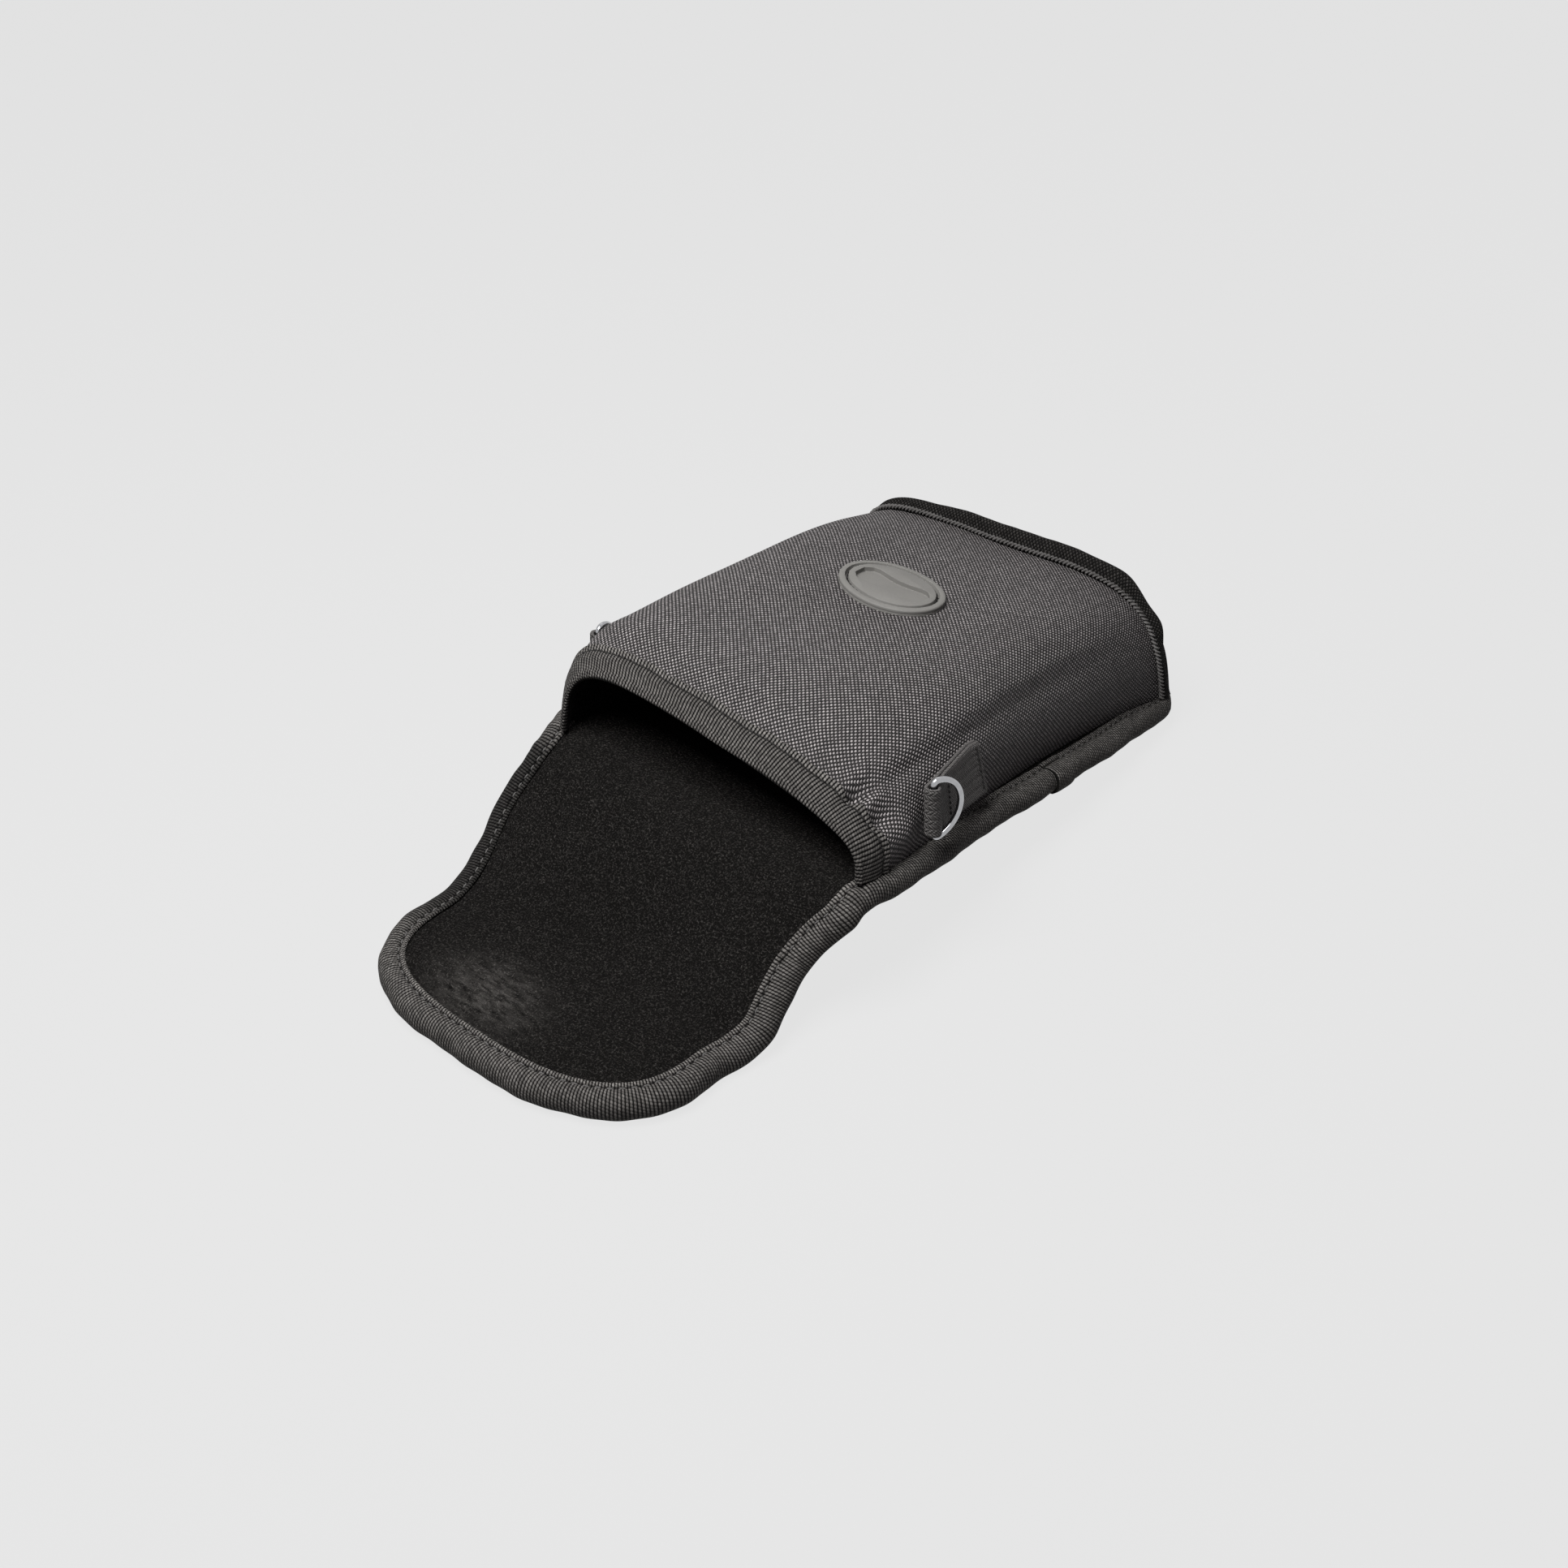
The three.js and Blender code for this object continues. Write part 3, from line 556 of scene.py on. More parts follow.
def layered(name, top, bottom, cloth, finish):
    """A closed layer between two matching grids; cloth holds the grids' places on the cloth."""
    rows, columns = top.shape[:2]
    faces, uv = [], []

    def at(cell, low=0):
        return (low * rows + cell[0]) * columns + cell[1]

    def patch(cells, low):
        faces.append(tuple(at(cell, low) for cell in cells))
        uv.append([tuple(cloth[cell]) for cell in cells])

    for i in range(rows - 1):
        for j in range(columns - 1):
            cells = [(i, j), (i + 1, j), (i + 1, j + 1), (i, j + 1)]
            patch(cells, 0)
            patch(cells[::-1], 1)
    rim = [(0, j) for j in range(columns)] + [(i, columns - 1) for i in range(1, rows)]
    rim += [(rows - 1, j) for j in range(columns - 2, -1, -1)]
    rim += [(i, 0) for i in range(rows - 2, 0, -1)]
    for a, b in zip(rim, rim[1:] + rim[:1]):
        faces.append((at(a), at(b), at(b, 1), at(a, 1)))
        uv.append([tuple(cloth[a]), tuple(cloth[b]), tuple(cloth[b]), tuple(cloth[a])])
    points = np.concatenate([top.reshape(-1, 3), bottom.reshape(-1, 3)])
    return finish_piece(name, points, faces, finish, uv)


def lifted_line(line, across, probe):
    """Ways out of the cloth along a line on it; at the probe's points they lead up."""
    up = unit(np.cross(np.gradient(line, axis=0), across))
    return -up if up[probe, 2].mean() < 0 else up


def stitch_row(name, line, up, pitch, length, radius, finish):
    """Short thread arcs along a line, their ends sunk into the cloth."""
    reach = lengths(line)
    points, faces = [], []
    sides, rings, sink = 6, 5, 0.25
    centre = pitch
    index = 0
    while centre < reach[-1] - pitch / 2:
        index += 1
        jog = 0.12 * radius * math.sin(index * 2.4)
        base = len(points)
        for r in range(rings):
            t = -0.5 + r / (rings - 1)
            at = centre + t * length
            p, n = sample(at, reach, line), sample(at, reach, up)
            ahead = sample(at + 1e-4, reach, line) - p
            ahead /= max(np.linalg.norm(ahead), 1e-9)
            side = np.cross(ahead, n)
            side /= max(np.linalg.norm(side), 1e-9)
            lift = radius * (0.9 - 2.4 * (2 * t) ** 4) - sink * radius
            size = radius * (1 - 0.55 * abs(2 * t) ** 3)
            for k in range(sides):
                a = 2 * math.pi * k / sides
                sideways = size * math.cos(a) + jog
                points.append(p + n * (lift + size * math.sin(a)) + side * sideways)
        faces += tube_faces(rings, sides, base)
        faces.append(tuple(base + k for k in range(sides)))
        faces.append(tuple(base + (rings - 1) * sides + k for k in reversed(range(sides))))
        centre += pitch
    return finish_piece(name, points, faces, finish)


# ------------------------------------------------------------------ where things lie

LIE = math.radians(9.4)
LIP_Y, LIP_Z = -46.922, 42.59
FOLD = np.array([-50.868, 43.244])
TIP_FOLD = np.array([-96.26, 9.1])
BODY_LENGTH, NECK_LENGTH, TIP_LENGTH = 212.0, 56.8, 60.6
PANEL_LENGTH = BODY_LENGTH + NECK_LENGTH + TIP_LENGTH
MID_NECK = BODY_LENGTH + NECK_LENGTH / 2


def on_pouch(points):
    """From the pouch's frame in millimetres to metres where the pouch lies."""
    p = np.asarray(points, float)
    x, y, z = p[..., 0], p[..., 1], p[..., 2]
    level_y = y * math.cos(LIE) + z * math.sin(LIE) + LIP_Y
    level_z = -y * math.sin(LIE) + z * math.cos(LIE) + LIP_Z
    return MM * np.stack([x, level_y, level_z], -1)


def off_pouch(points):
    """The other way from on_pouch: metres to the pouch's frame in millimetres."""
    p = np.asarray(points, float) / MM
    x, y, z = p[..., 0], p[..., 1] - LIP_Y, p[..., 2] - LIP_Z
    leaned_y = y * math.cos(LIE) - z * math.sin(LIE)
    leaned_z = y * math.sin(LIE) + z * math.cos(LIE)
    return np.stack([x, leaned_y, leaned_z], -1)


def panel_line(s):
    """The lining's line down the middle, s mm from the bottom end: points and ways up, Y and Z."""
    up_slope = np.array([-math.cos(LIE), math.sin(LIE)])
    down = (TIP_FOLD - FOLD) / np.linalg.norm(TIP_FOLD - FOLD)
    flat = np.array([-1.0, 0.0])
    s = np.asarray(s, float)[..., None]

    def bent(at, corner, before, after, soft):
        rest = s - at
        u = np.clip(rest, -soft, soft)
        point = corner + np.where(rest < 0, before, after) * rest
        inside = corner - before * (soft - u) ** 2 / (4 * soft)
        inside = inside + after * (soft + u) ** 2 / (4 * soft)
        share = (soft + u) / (2 * soft)
        line = np.where(np.abs(rest) < soft, inside, point)
        return line, before * (1 - share) + after * share

    first, way_first = bent(BODY_LENGTH, FOLD, up_slope, down, 11.0)
    second, way_second = bent(BODY_LENGTH + NECK_LENGTH, TIP_FOLD, down, flat, 15.0)
    way = np.where(s < MID_NECK, way_first, way_second)
    return np.where(s < MID_NECK, first, second), turned_right(unit(way))


def on_panel(x, s, z):
    """A place across the panel, along it from its bottom end, and above its lining."""
    x, s, z = np.broadcast_arrays(*(np.asarray(v, float) for v in (x, s, z)))
    point, up = panel_line(s)
    place = point + up * (z - neck_droop(x, s))[..., None]
    return MM * np.stack([x, place[..., 0], place[..., 1]], -1)


def neck_droop(x, s):
    """The neck is bowed: its edges hang lower than its middle."""
    amount = 3.2 * smooth_steps(s, 206, 236) * (1 - smooth_steps(s, 262, 300))
    return amount * (np.abs(x) / 70) ** 2.4


RIGHT_STOPS = (20, 90, 128, 170, 198, 212, 222, 232, 241, 252, 264, 276, 284)
RIGHT_WIDTHS = (76.2, 76.4, 75.7, 76.5, 76.9, 74.6, 73.0, 68.9, 66.9, 67.0, 68.4, 66.4, 64.6)
LEFT_STOPS = (20, 150, 188, 198, 206, 213, 221, 230, 241, 255, 270, 284)
LEFT_WIDTHS = (76.2, 76.6, 76.4, 75.0, 71.8, 70.2, 70.6, 71.9, 72.4, 70.3, 67.2, 65.2)
END_HALF = 76.2
TIP_START = 284.0
TIP_HALVES = {1: 64.6, -1: 65.2}
TIP_POWERS = {1: 2.45, -1: 3.0}
CORNER = 20.0
SIDES = {1: "right", -1: "left"}


def half_outline(side):
    """Edge of the panel and flap on one side, from the middle of the bottom end to the tip."""
    turn = np.linspace(0, math.pi / 2, 24)
    end = np.stack([END_HALF - CORNER + CORNER * np.sin(turn), CORNER - CORNER * np.cos(turn)], 1)
    s = np.linspace(CORNER, TIP_START, 160)
    stops, widths = (RIGHT_STOPS, RIGHT_WIDTHS) if side > 0 else (LEFT_STOPS, LEFT_WIDTHS)
    length = np.stack([curve_through(s, stops, widths), s], 1)
    power = 2 / TIP_POWERS[side]
    a = np.linspace(0, math.pi / 2, 60)
    reach = TIP_START + (PANEL_LENGTH - TIP_START) * np.sin(a) ** power
    tip = np.stack([TIP_HALVES[side] * np.cos(a) ** power, reach], 1)
    half = np.concatenate([[[0, 0]], end, length[1:], tip[1:]])
    half[:, 0] *= side
    return half


def edge_part(front):
    """Edge of the rear or front part: its points, the ways in from them, its length so far."""
    right, left = half_outline(1), half_outline(-1)
    if front:
        first, last = right[right[:, 1] > MID_NECK], left[left[:, 1] > MID_NECK][::-1]
    else:
        first, last = left[left[:, 1] < MID_NECK][::-1], right[right[:, 1] < MID_NECK]

    def meeting(half, side):
        straight = half[25:180]
        return [side * np.interp(MID_NECK, straight[:, 1], np.abs(straight[:, 0])), MID_NECK]

    ends = [meeting(right, 1), meeting(left, -1)]
    if not front:
        ends.reverse()
    path, reach = spaced_evenly(np.concatenate([ends[:1], first, last[1:], ends[1:]]), 1.0)
    inward = -turned_right(unit(np.gradient(path, axis=0)))
    if ((path.mean(0) - path) * inward).sum() < 0:
        inward = -inward
    for end in (0, -1):
        inward[end] = (-np.sign(path[end, 0]), 0)
    return path, inward, reach


def distance_from_edge(x, s):
    loop, _ = spaced_evenly(np.concatenate([half_outline(-1)[::-1], half_outline(1)[1:]]), 1.0)
    flat = np.stack([np.ravel(x), np.ravel(s)], 1)
    batch = 2000
    nearest = [
        np.sqrt(((flat[k : k + batch, None, :] - loop[None, :, :]) ** 2).sum(2).min(1))
        for k in range(0, len(flat), batch)
    ]
    return np.concatenate(nearest).reshape(np.shape(x))


# ------------------------------------------------------------------ pocket shell

STATIONS = (-1, 6, 14, 24, 34, 58, 100, 150, 176, 192)
LEFT_REACH = (61.8, 67.2, 71.0, 72.8, 70.8, 70.6, 70.0, 69.6, 69.4, 69.6)
RIGHT_REACH = (69.5, 71.0, 72.0, 72.0, 71.8, 71.0, 70.0, 70.2, 72.4, 74.4)
HEIGHTS = (28.0, 29.2, 31.0, 35.4, 39.0, 43.4, 46.0, 46.0, 43.2, 40.4)
LEFT_TILTS = (-0.095, -0.08, -0.065, -0.06, -0.055, -0.045, -0.03, -0.01, 0.01, 0.03)
RIGHT_TILTS = (-0.13, -0.13, -0.13, -0.12, -0.10, -0.06, -0.02, 0.01, 0.05, 0.065)
LEFT_POWERS = (3.8, 4.0, 4.5, 4.8, 4.7, 4.5, 4.6, 5.2, 5.6, 6.5)
RIGHT_POWERS = (3.6, 3.5, 3.4, 3.4, 3.8, 5.0, 5.8, 5.4, 4.4, 4.1)
TAPERS = (0.02, 0.03, 0.04, 0.07, 0.12, 0.144, 0.16, 0.11, 0.12, 0.15)
FOOT_PULLS = (0, 0.5, 1.0, 1.5, 2.0, 3.2, 5.0, 4.2, 3.4, 1.6)
TOP_ROUND = 14.0
WALL, LIP_WALL = 6.2, 1.0
SHELL_START, END_Y = 0.3, 184.0
SHELL_FOOT = 0.2


def station(y, steps):
    """The shell's outer skin across the pouch at y: points (x, z), ways out, reach from the top."""

    def get(values):
        return float(curve_through(np.array([y]), STATIONS, values)[0])

    h = get(HEIGHTS)
    a = np.linspace(0, math.pi, 721)
    on_right = a < math.pi / 2
    w = np.where(on_right, get(RIGHT_REACH), get(LEFT_REACH))
    power = np.where(on_right, get(RIGHT_POWERS), get(LEFT_POWERS))
    x = np.sign(np.cos(a)) * w * np.abs(np.cos(a)) ** (2 / power)
    z = h * np.abs(np.sin(a)) ** (2 / power)
    pull = get(FOOT_PULLS) * (1 - np.clip(z / 20, 0, 1)) ** 1.5
    x = np.where(on_right, x * (1 - get(TAPERS) * z / h), x)
    x = x - np.sign(x) * pull
    left, right = get(LEFT_TILTS), get(RIGHT_TILTS)
    lift = (left + right) / 2 * x + (right - left) / 2 * (np.hypot(x, TOP_ROUND) - TOP_ROUND)
    path = np.stack([x, z + lift * np.clip(z / h, 0, 1) ** 1.5], 1)
    reach = lengths(path)
    at = np.asarray(steps) * reach[-1]
    p = sample(at, reach, path)
    return p, turned_right(unit(eased(np.gradient(p, axis=0), 3))), at - reach[-1] / 2


DENTS = (
    # y, share of the way round from the right foot, depth, reach along y, reach round
    (14.8, 0.166, -4.4, 4.2, 0.016),
    (17.0, 0.139, 1.9, 6.0, 0.012),
    (15.0, 0.102, -3.2, 4.2, 0.017),
    (22.5, 0.062, 1.9, 6.5, 0.024),
    (21.0, 0.196, 0.8, 8.0, 0.016),
    (34, 0.148, -1.3, 12.0, 0.016),
    (62, 0.146, -1.1, 26.0, 0.017),
    (112, 0.146, -0.9, 38.0, 0.018),
    (90, 0.182, 0.5, 60.0, 0.012),
    (62, 0.33, 0.5, 26.0, 0.08),
    (120, 0.62, 0.5, 30.0, 0.10),
    (150, 0.40, -0.5, 20.0, 0.07),
    (40, 0.60, -0.5, 16.0, 0.09),
)


def wall_at(y):
    """Thickness of the padded wall: the tape squeezes it thin at the lip."""
    return LIP_WALL + (WALL - LIP_WALL) * smooth_steps(y, -1, 18)


def shell_swell(y, share):
    """Soft dents and swells of the padded shell, in mm outwards."""
    total = 0.35 * np.sin(y / 17 + 5 * share) * np.sin(share * 21 + 1.3)
    for at_y, at_share, depth, reach_y, reach_share in DENTS:
        away = ((y - at_y) / reach_y) ** 2 + ((share - at_share) / reach_share) ** 2
        total = total + depth * np.exp(-away)
    return total * smooth_steps(share, 0.0, 0.06) * (1 - smooth_steps(share, 0.94, 1.0))


def leaned(y, z):
    """The lower part of the bottom end stands further back than its top, most at its foot."""
    foot = np.clip(1 - np.asarray(z) / 24, 0, 1) ** 1.2
    return y + smooth_steps(y, 120, 184) * (6 * (1 - z / 43.5) + 4 * foot)


def shell_point(y, steps, out):
    """A row of points round the shell at y, out mm from its outer skin, and their reach."""
    p, way, at = station(y, steps)
    q = p + way * (out + shell_swell(y, steps))[..., None]
    z = np.maximum(q[:, 1], SHELL_FOOT)
    return np.stack([q[:, 0], leaned(y, z), z], 1), at


def shell_grid(out, start, end, along=76, around=130):
    steps = np.linspace(0, 1, around)
    rows, cloth = [], []
    for y in np.linspace(start, end, along):
        row, at = shell_point(y, steps, out(y))
        rows.append(row)
        cloth.append(np.stack([at * MM, np.full_like(at, y * MM)], 1))
    return on_pouch(np.array(rows)), np.array(cloth)


def make_shell(weave, lining):
    outer, cloth = shell_grid(lambda y: 0, SHELL_START, END_Y, 110, 190)
    middle, _ = shell_grid(lambda y: 1.2 - wall_at(y), SHELL_START, END_Y, 110, 190)
    cover = layered("pocket_cover", outer, middle, cloth, weave)
    inner_top, cloth = shell_grid(lambda y: 1.1 - wall_at(y), SHELL_START, END_Y)
    inner, _ = shell_grid(lambda y: -wall_at(y), SHELL_START, END_Y)
    inside = layered("pocket_lining", inner_top, inner, cloth, lining)
    belongs(cover, "outer_fabric", "pouch", "front_shell_fabric", "front_shell_foam")
    belongs(inside, "lining", "pouch", "front_shell_lining")


def mouth_leg(share):
    """Length of the mouth tape's outer leg round the arch: shorter towards both feet."""
    right = 0.8 * (1 - smooth_steps(share, 0.0, 0.1))
    return 12.6 - right - 6.0 * smooth_steps(share, 0.86, 1.0)


MOUTH_PROFILE = (
    # place along the leg (1 at its edge, 0 at the lip), extra y, on the inside, outset
    (1.00, 0.0, 0, 0.30), (1.00, -0.1, 0, 1.20), (0.955, 0.0, 0, 1.55), (0.90, 0.0, 0, 1.40),
    (0.83, 0.0, 0, 1.15), (0.77, 0.0, 0, 0.75), (0.71, 0.0, 0, 1.10), (0.60, 0.0, 0, 1.35),
    (0.45, 0.0, 0, 1.45), (0.25, 0.0, 0, 1.40), (0.12, 0.0, 0, 1.25), (0.06, 0.0, 0, 0.95),
    (0.00, -0.15, 0, 1.05), (0.00, -0.55, 0, 0.60), (0.00, -0.70, 0, 0.10),
    (0.00, -1.10, 0, -0.25), (0.00, -1.15, 0, -0.80), (0.00, -0.85, 0, -1.15),
    (0.00, -1.15, 1, 0.60), (0.00, -0.95, 1, -0.05), (0.00, -0.50, 1, -0.60),
    (0.00, 0.20, 1, -0.90), (0.20, 0.0, 1, -0.95), (0.80, 0.0, 1, -0.90),
    (0.95, 0.0, 1, -0.75), (0.95, 0.0, 1, -0.15), (0.20, 0.0, 1, -0.12), (0.03, 0.0, 1, 0.45),
    (0.03, 0.0, 0, -0.60), (0.10, 0.0, 0, 0.20), (0.50, 0.0, 0, 0.30),
)
MOUTH_SEAM = 5
MOUTH_FOOT = 1.4


def make_mouth_tape(tape, thread):
    around = 300
    steps = np.linspace(0, 1, around)
    leg = mouth_leg(steps) + ripple(steps * 230, (37, 0.30, 0.5), (17, 0.16, 2.0), (9, 0.10, 0.3))
    stations = {}
    grid = np.empty((around, len(MOUTH_PROFILE), 3))
    for c, (share, extra, inside, out) in enumerate(MOUTH_PROFILE):
        for k, y in enumerate(share * leg + extra):
            base = round(float(y), 1)
            if base not in stations:
                stations[base] = station(base, steps)
            p, way, _ = stations[base]
            swell = (1 - inside) * float(shell_swell(y, steps[k]))
            q = p[k] + way[k] * (out - inside * wall_at(y) + swell)
            grid[k, c] = (q[0], y, max(q[1], MOUTH_FOOT))
    piece = swept("mouth_tape", on_pouch(grid), tape)
    # Painted shade on the tape's inner leg, facing into the pocket, strongest towards the left
    # foot.
    insides = np.array([row[2] for row in MOUTH_PROFILE], float)
    left_leg = 0.35 + 0.65 * smooth_steps(steps, 0.62, 0.8)
    paint_shade(piece, (left_leg[:, None] * insides[None, :]).ravel())
    belongs(piece, "binding_tape", "pouch", "mouth_binding")
    line = on_pouch(grid[:, MOUTH_SEAM])
    across = on_pouch(grid[:, MOUTH_SEAM + 2]) - on_pouch(grid[:, MOUTH_SEAM - 2])
    up = lifted_line(line, across, around // 2)
    stitches = stitch_row("mouth_stitches", line, up, 0.0031, 0.0025, 0.00030, thread)
    belongs(stitches, "binding_tape", "pouch")


# ------------------------------------------------------------------ bottom end and its flange


def make_bottom_end(canvas, lining):
    steps = np.linspace(0, 1, 90)
    rim, way, _ = station(END_Y, steps)
    rim = rim - way * 0.4
    foot = rim[0, 0] + (rim[-1, 0] - rim[0, 0]) * steps
    sunk = 0.6

    def face(y, bulge, flare=0.0):
        """From the line where it stands on the back panel up and out to the rim."""
        rows = []
        for share in np.linspace(0, 1, 26):
            x = foot + (rim[:, 0] - foot) * share
            z = -sunk + (np.maximum(rim[:, 1], 0.0) + sunk) * share
            swell = bulge * 4 * share * (1 - share)
            spread = np.exp(-(z + sunk) / 2.4) * (1 - np.minimum(np.abs(x) / 66, 1) ** 3)
            rows.append(np.stack([x, leaned(END_Y, z) - END_Y + y + swell + flare * spread, z], 1))
        return np.array(rows)

    back, front = face(190.4, 1.2, 5.0), face(185.6, 0.5, 5.0)
    inner_back, inner = face(185.5, 0.5), face(184.4, 0.4)
    cloth = np.stack([back[..., 0], back[..., 2]], -1) * MM
    outside = layered("bottom_end", on_pouch(back), on_pouch(front), cloth, canvas)
    inside = layered("bottom_end_lining", on_pouch(inner_back), on_pouch(inner), cloth, lining)
    belongs(outside, "black_canvas", "pouch", "end_panel_foam", "end_panel_fabric")
    belongs(inside, "lining", "pouch", "end_panel_lining")


FLANGE_PROFILE = (
    # y past the seam, outset
    (0.2, -0.2), (0.0, 0.9), (0.3, 2.2), (0.9, 3.8), (1.6, 5.3), (2.4, 6.6), (3.3, 7.4), (4.4, 7.7),
    (5.5, 7.4), (6.3, 6.4), (6.6, 4.8), (6.7, 2.8), (6.5, 1.0), (6.1, -0.3), (3.2, -0.4),
)
FLANGE_RISES = (
    # share of the way round from the right foot, share of the full rise there
    (0, 0.06), (0.04, 0.08), (0.08, 0.0), (0.12, 0.26), (0.16, 0.62), (0.20, 0.62), (0.25, 0.96),
    (0.32, 0.96), (0.42, 1.03), (0.52, 1.04), (0.62, 0.98), (0.70, 0.8), (0.75, 0.74),
    (0.79, 0.59), (0.83, 0.16), (0.9, 0.2), (1, 0.3),
)
FLANGE_FOOT = 1.6


def make_flange(canvas, thread):
    around = 240
    steps = np.linspace(0, 1, around)
    start = END_Y - 1.4
    wave = ripple(steps * 240, (71, 0.3, 0.3), (29, 0.14, 1.2), (12, 0.05, 0.4))
    rise = curve_through(steps, *zip(*FLANGE_RISES))
    grid = np.empty((around, len(FLANGE_PROFILE), 3))
    for c, (past, out) in enumerate(FLANGE_PROFILE):
        stands = np.where(out > 1, 0.9 + (out - 0.9) * rise + wave * 0.6, out)
        back = past * (0.3 + 0.7 * rise)
        p, way, _ = station(start + past, steps)
        q = p + way * stands[..., None]
        z = np.maximum(q[:, 1], FLANGE_FOOT)
        y = leaned(END_Y, z) - END_Y + start + back + wave * 0.4
        grid[:, c] = np.stack([q[:, 0], y, z], 1)
    piece = swept("end_flange", on_pouch(grid), canvas)
    belongs(piece, "black_canvas", "pouch", "end_flange_binding")
    seam = 0.55 * grid[:, 1] + 0.45 * grid[:, 2]
    braid("flange_braid", on_pouch(seam), 0.00095, 0.0034, thread)


def braid(name, line, radius, turn, finish):
    """Two fuzzy cords twisted round each other along a line."""
    line, reach = spaced_evenly(line, turn / 9)
    ahead = unit(np.gradient(line, axis=0))
    side = unit(np.cross(ahead, (0.0, 1.0, 0.15)))
    up = np.cross(side, ahead)
    cord, sides = radius * 0.62, 7
    for strand in (0, 1):
        turned = 2 * math.pi * reach / turn + math.pi * strand
        centre = line + cord * (side * np.cos(turned)[:, None] + up * np.sin(turned)[:, None])
        rough = cord * (1 + 0.18 * np.sin(reach / 0.00071) * np.sin(reach / 0.00123 + strand))
        grid = np.empty((len(line), sides, 3))
        for k in range(sides):
            a = 2 * math.pi * k / sides
            grid[:, k] = centre + rough[:, None] * (side * math.cos(a) + up * math.sin(a))
        belongs(swept(name + ("_a", "_b")[strand], grid, finish), "black_canvas", "pouch")


# ------------------------------------------------------------------ back panel and flap


def panel_rows(start, end, inset):
    """Stations along the panel and the half widths left and right there, inset from the edge."""
    first = inset if start <= 0 else start
    last = PANEL_LENGTH - inset if end >= PANEL_LENGTH else end
    t = np.linspace(0, 1, 90)
    if end >= PANEL_LENGTH:
        t = np.sin(t * math.pi / 2) ** 0.9
        t[-1] = 1
    s = first + (last - first) * t
    if start <= 0:
        corner = first + CORNER * (1 - np.cos(np.linspace(0, math.pi / 2, 10)))
        s = np.concatenate([corner, np.linspace(corner[-1], last, len(t))[1:]])

    def shrunk(side):
        half = half_outline(side)
        inward = -turned_right(unit(np.gradient(half, axis=0))) * side
        line = half + inward * inset
        line = line[np.argsort(line[:, 1], kind="stable")]
        return np.maximum(np.interp(s, line[:, 1], np.abs(line[:, 0])), 2.0)

    return s, shrunk(-1), shrunk(1)


def panel_layer(name, start, end, inset, top_z, bottom_z, finish):
    s, left, right = panel_rows(start, end, inset)
    across = np.linspace(-1, 1, 61)[None, :]
    x = across * np.where(across < 0, left[:, None], right[:, None])
    ss = np.repeat(s[:, None], across.size, 1)
    away = distance_from_edge(x, ss)
    top = on_panel(x, ss, top_z(x, ss, away))
    bottom = on_panel(x, ss, bottom_z(x, ss, away))
    bottom[..., 2] = np.maximum(bottom[..., 2], 0.0003)
    return layered(name, top, bottom, np.stack([x, ss], -1) * MM, finish)


def lining_top(x, s, away):
    """Padded lining: pressed down under the tape, crowned between, creased at the tip fold."""
    crown = -0.7 + 1.3 * smooth_steps(away, 7.5, 20)
    outside = smooth_steps(s, 200, 224)
    soft = 0.3 * np.sin(x / 19 + s / 31) * np.sin(s / 23 + 0.6)
    deep = 0.2 + 1.5 * smooth_steps(x, 10, 40)
    crease = -deep * np.exp(-(((s - (268 + 0.02 * x)) / 2.6) ** 2))
    return crown * (0.35 + 0.65 * outside) + (soft + crease) * outside


def under(x, s, away):
    return (-8.0 + 0.9 * (1 - smooth_steps(away, 2, 9))) * thickness(s)


def skin(x, s, away):
    """The lining's underside."""
    return lining_top(x, s, away) - 1.1


def below(x, s, away):
    """Top of the padding."""
    return lining_top(x, s, away) - 1.2


PANEL_PARTS = (
    # name, from, to, bodies, where it bends, CAD nodes of the padding, the lining and the tape
    ("rear", 0, MID_NECK, ("pouch", "flap_neck"), (BODY_LENGTH - 9, BODY_LENGTH + 9),
     (("back_panel_foam", "back_panel_fabric"), ("back_panel_lining",),
      ("back_binding_right", "back_binding_end", "back_binding_left"))),
    ("front", MID_NECK, PANEL_LENGTH, ("flap_neck", "flap_tip"),
     (BODY_LENGTH + NECK_LENGTH - 13, BODY_LENGTH + NECK_LENGTH + 13),
     (("flap_neck_foam", "flap_neck_fabric", "flap_tip_foam", "flap_tip_fabric"),
      ("flap_neck_lining", "flap_tip_lining"),
      ("flap_neck_binding_right", "flap_neck_binding_left", "flap_tip_binding"))),
)
TAPE_SEAM = 4


def make_panels(canvas, lining, tape, thread):
    for place, start, end, bodies, span, names in PANEL_PARTS:
        pad = panel_layer(f"{place}_padding", start, end, 1.4, below, under, canvas)
        face = panel_layer(f"{place}_lining", start, end, 2.2, lining_top, skin, lining)
        edge, rows = edge_tape(f"{place}_edge_tape", place == "front", tape)
        line, across = rows[:, TAPE_SEAM], rows[:, TAPE_SEAM + 1] - rows[:, TAPE_SEAM - 1]
        up = lifted_line(line, across, slice(None))
        sewn = stitch_row(f"{place}_edge_stitches", line, up, 0.0038, 0.0028, 0.00027, thread)
        starts, ends = ([float(v) for v in on_panel(0, s, 0)] for s in span)
        slots = ("black_canvas", "lining", "binding_tape", "binding_tape")
        for piece, slot in zip((pad, face, edge, sewn), slots):
            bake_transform(piece)
        for piece, nodes in zip((pad, face, edge), names):
            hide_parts(*nodes)


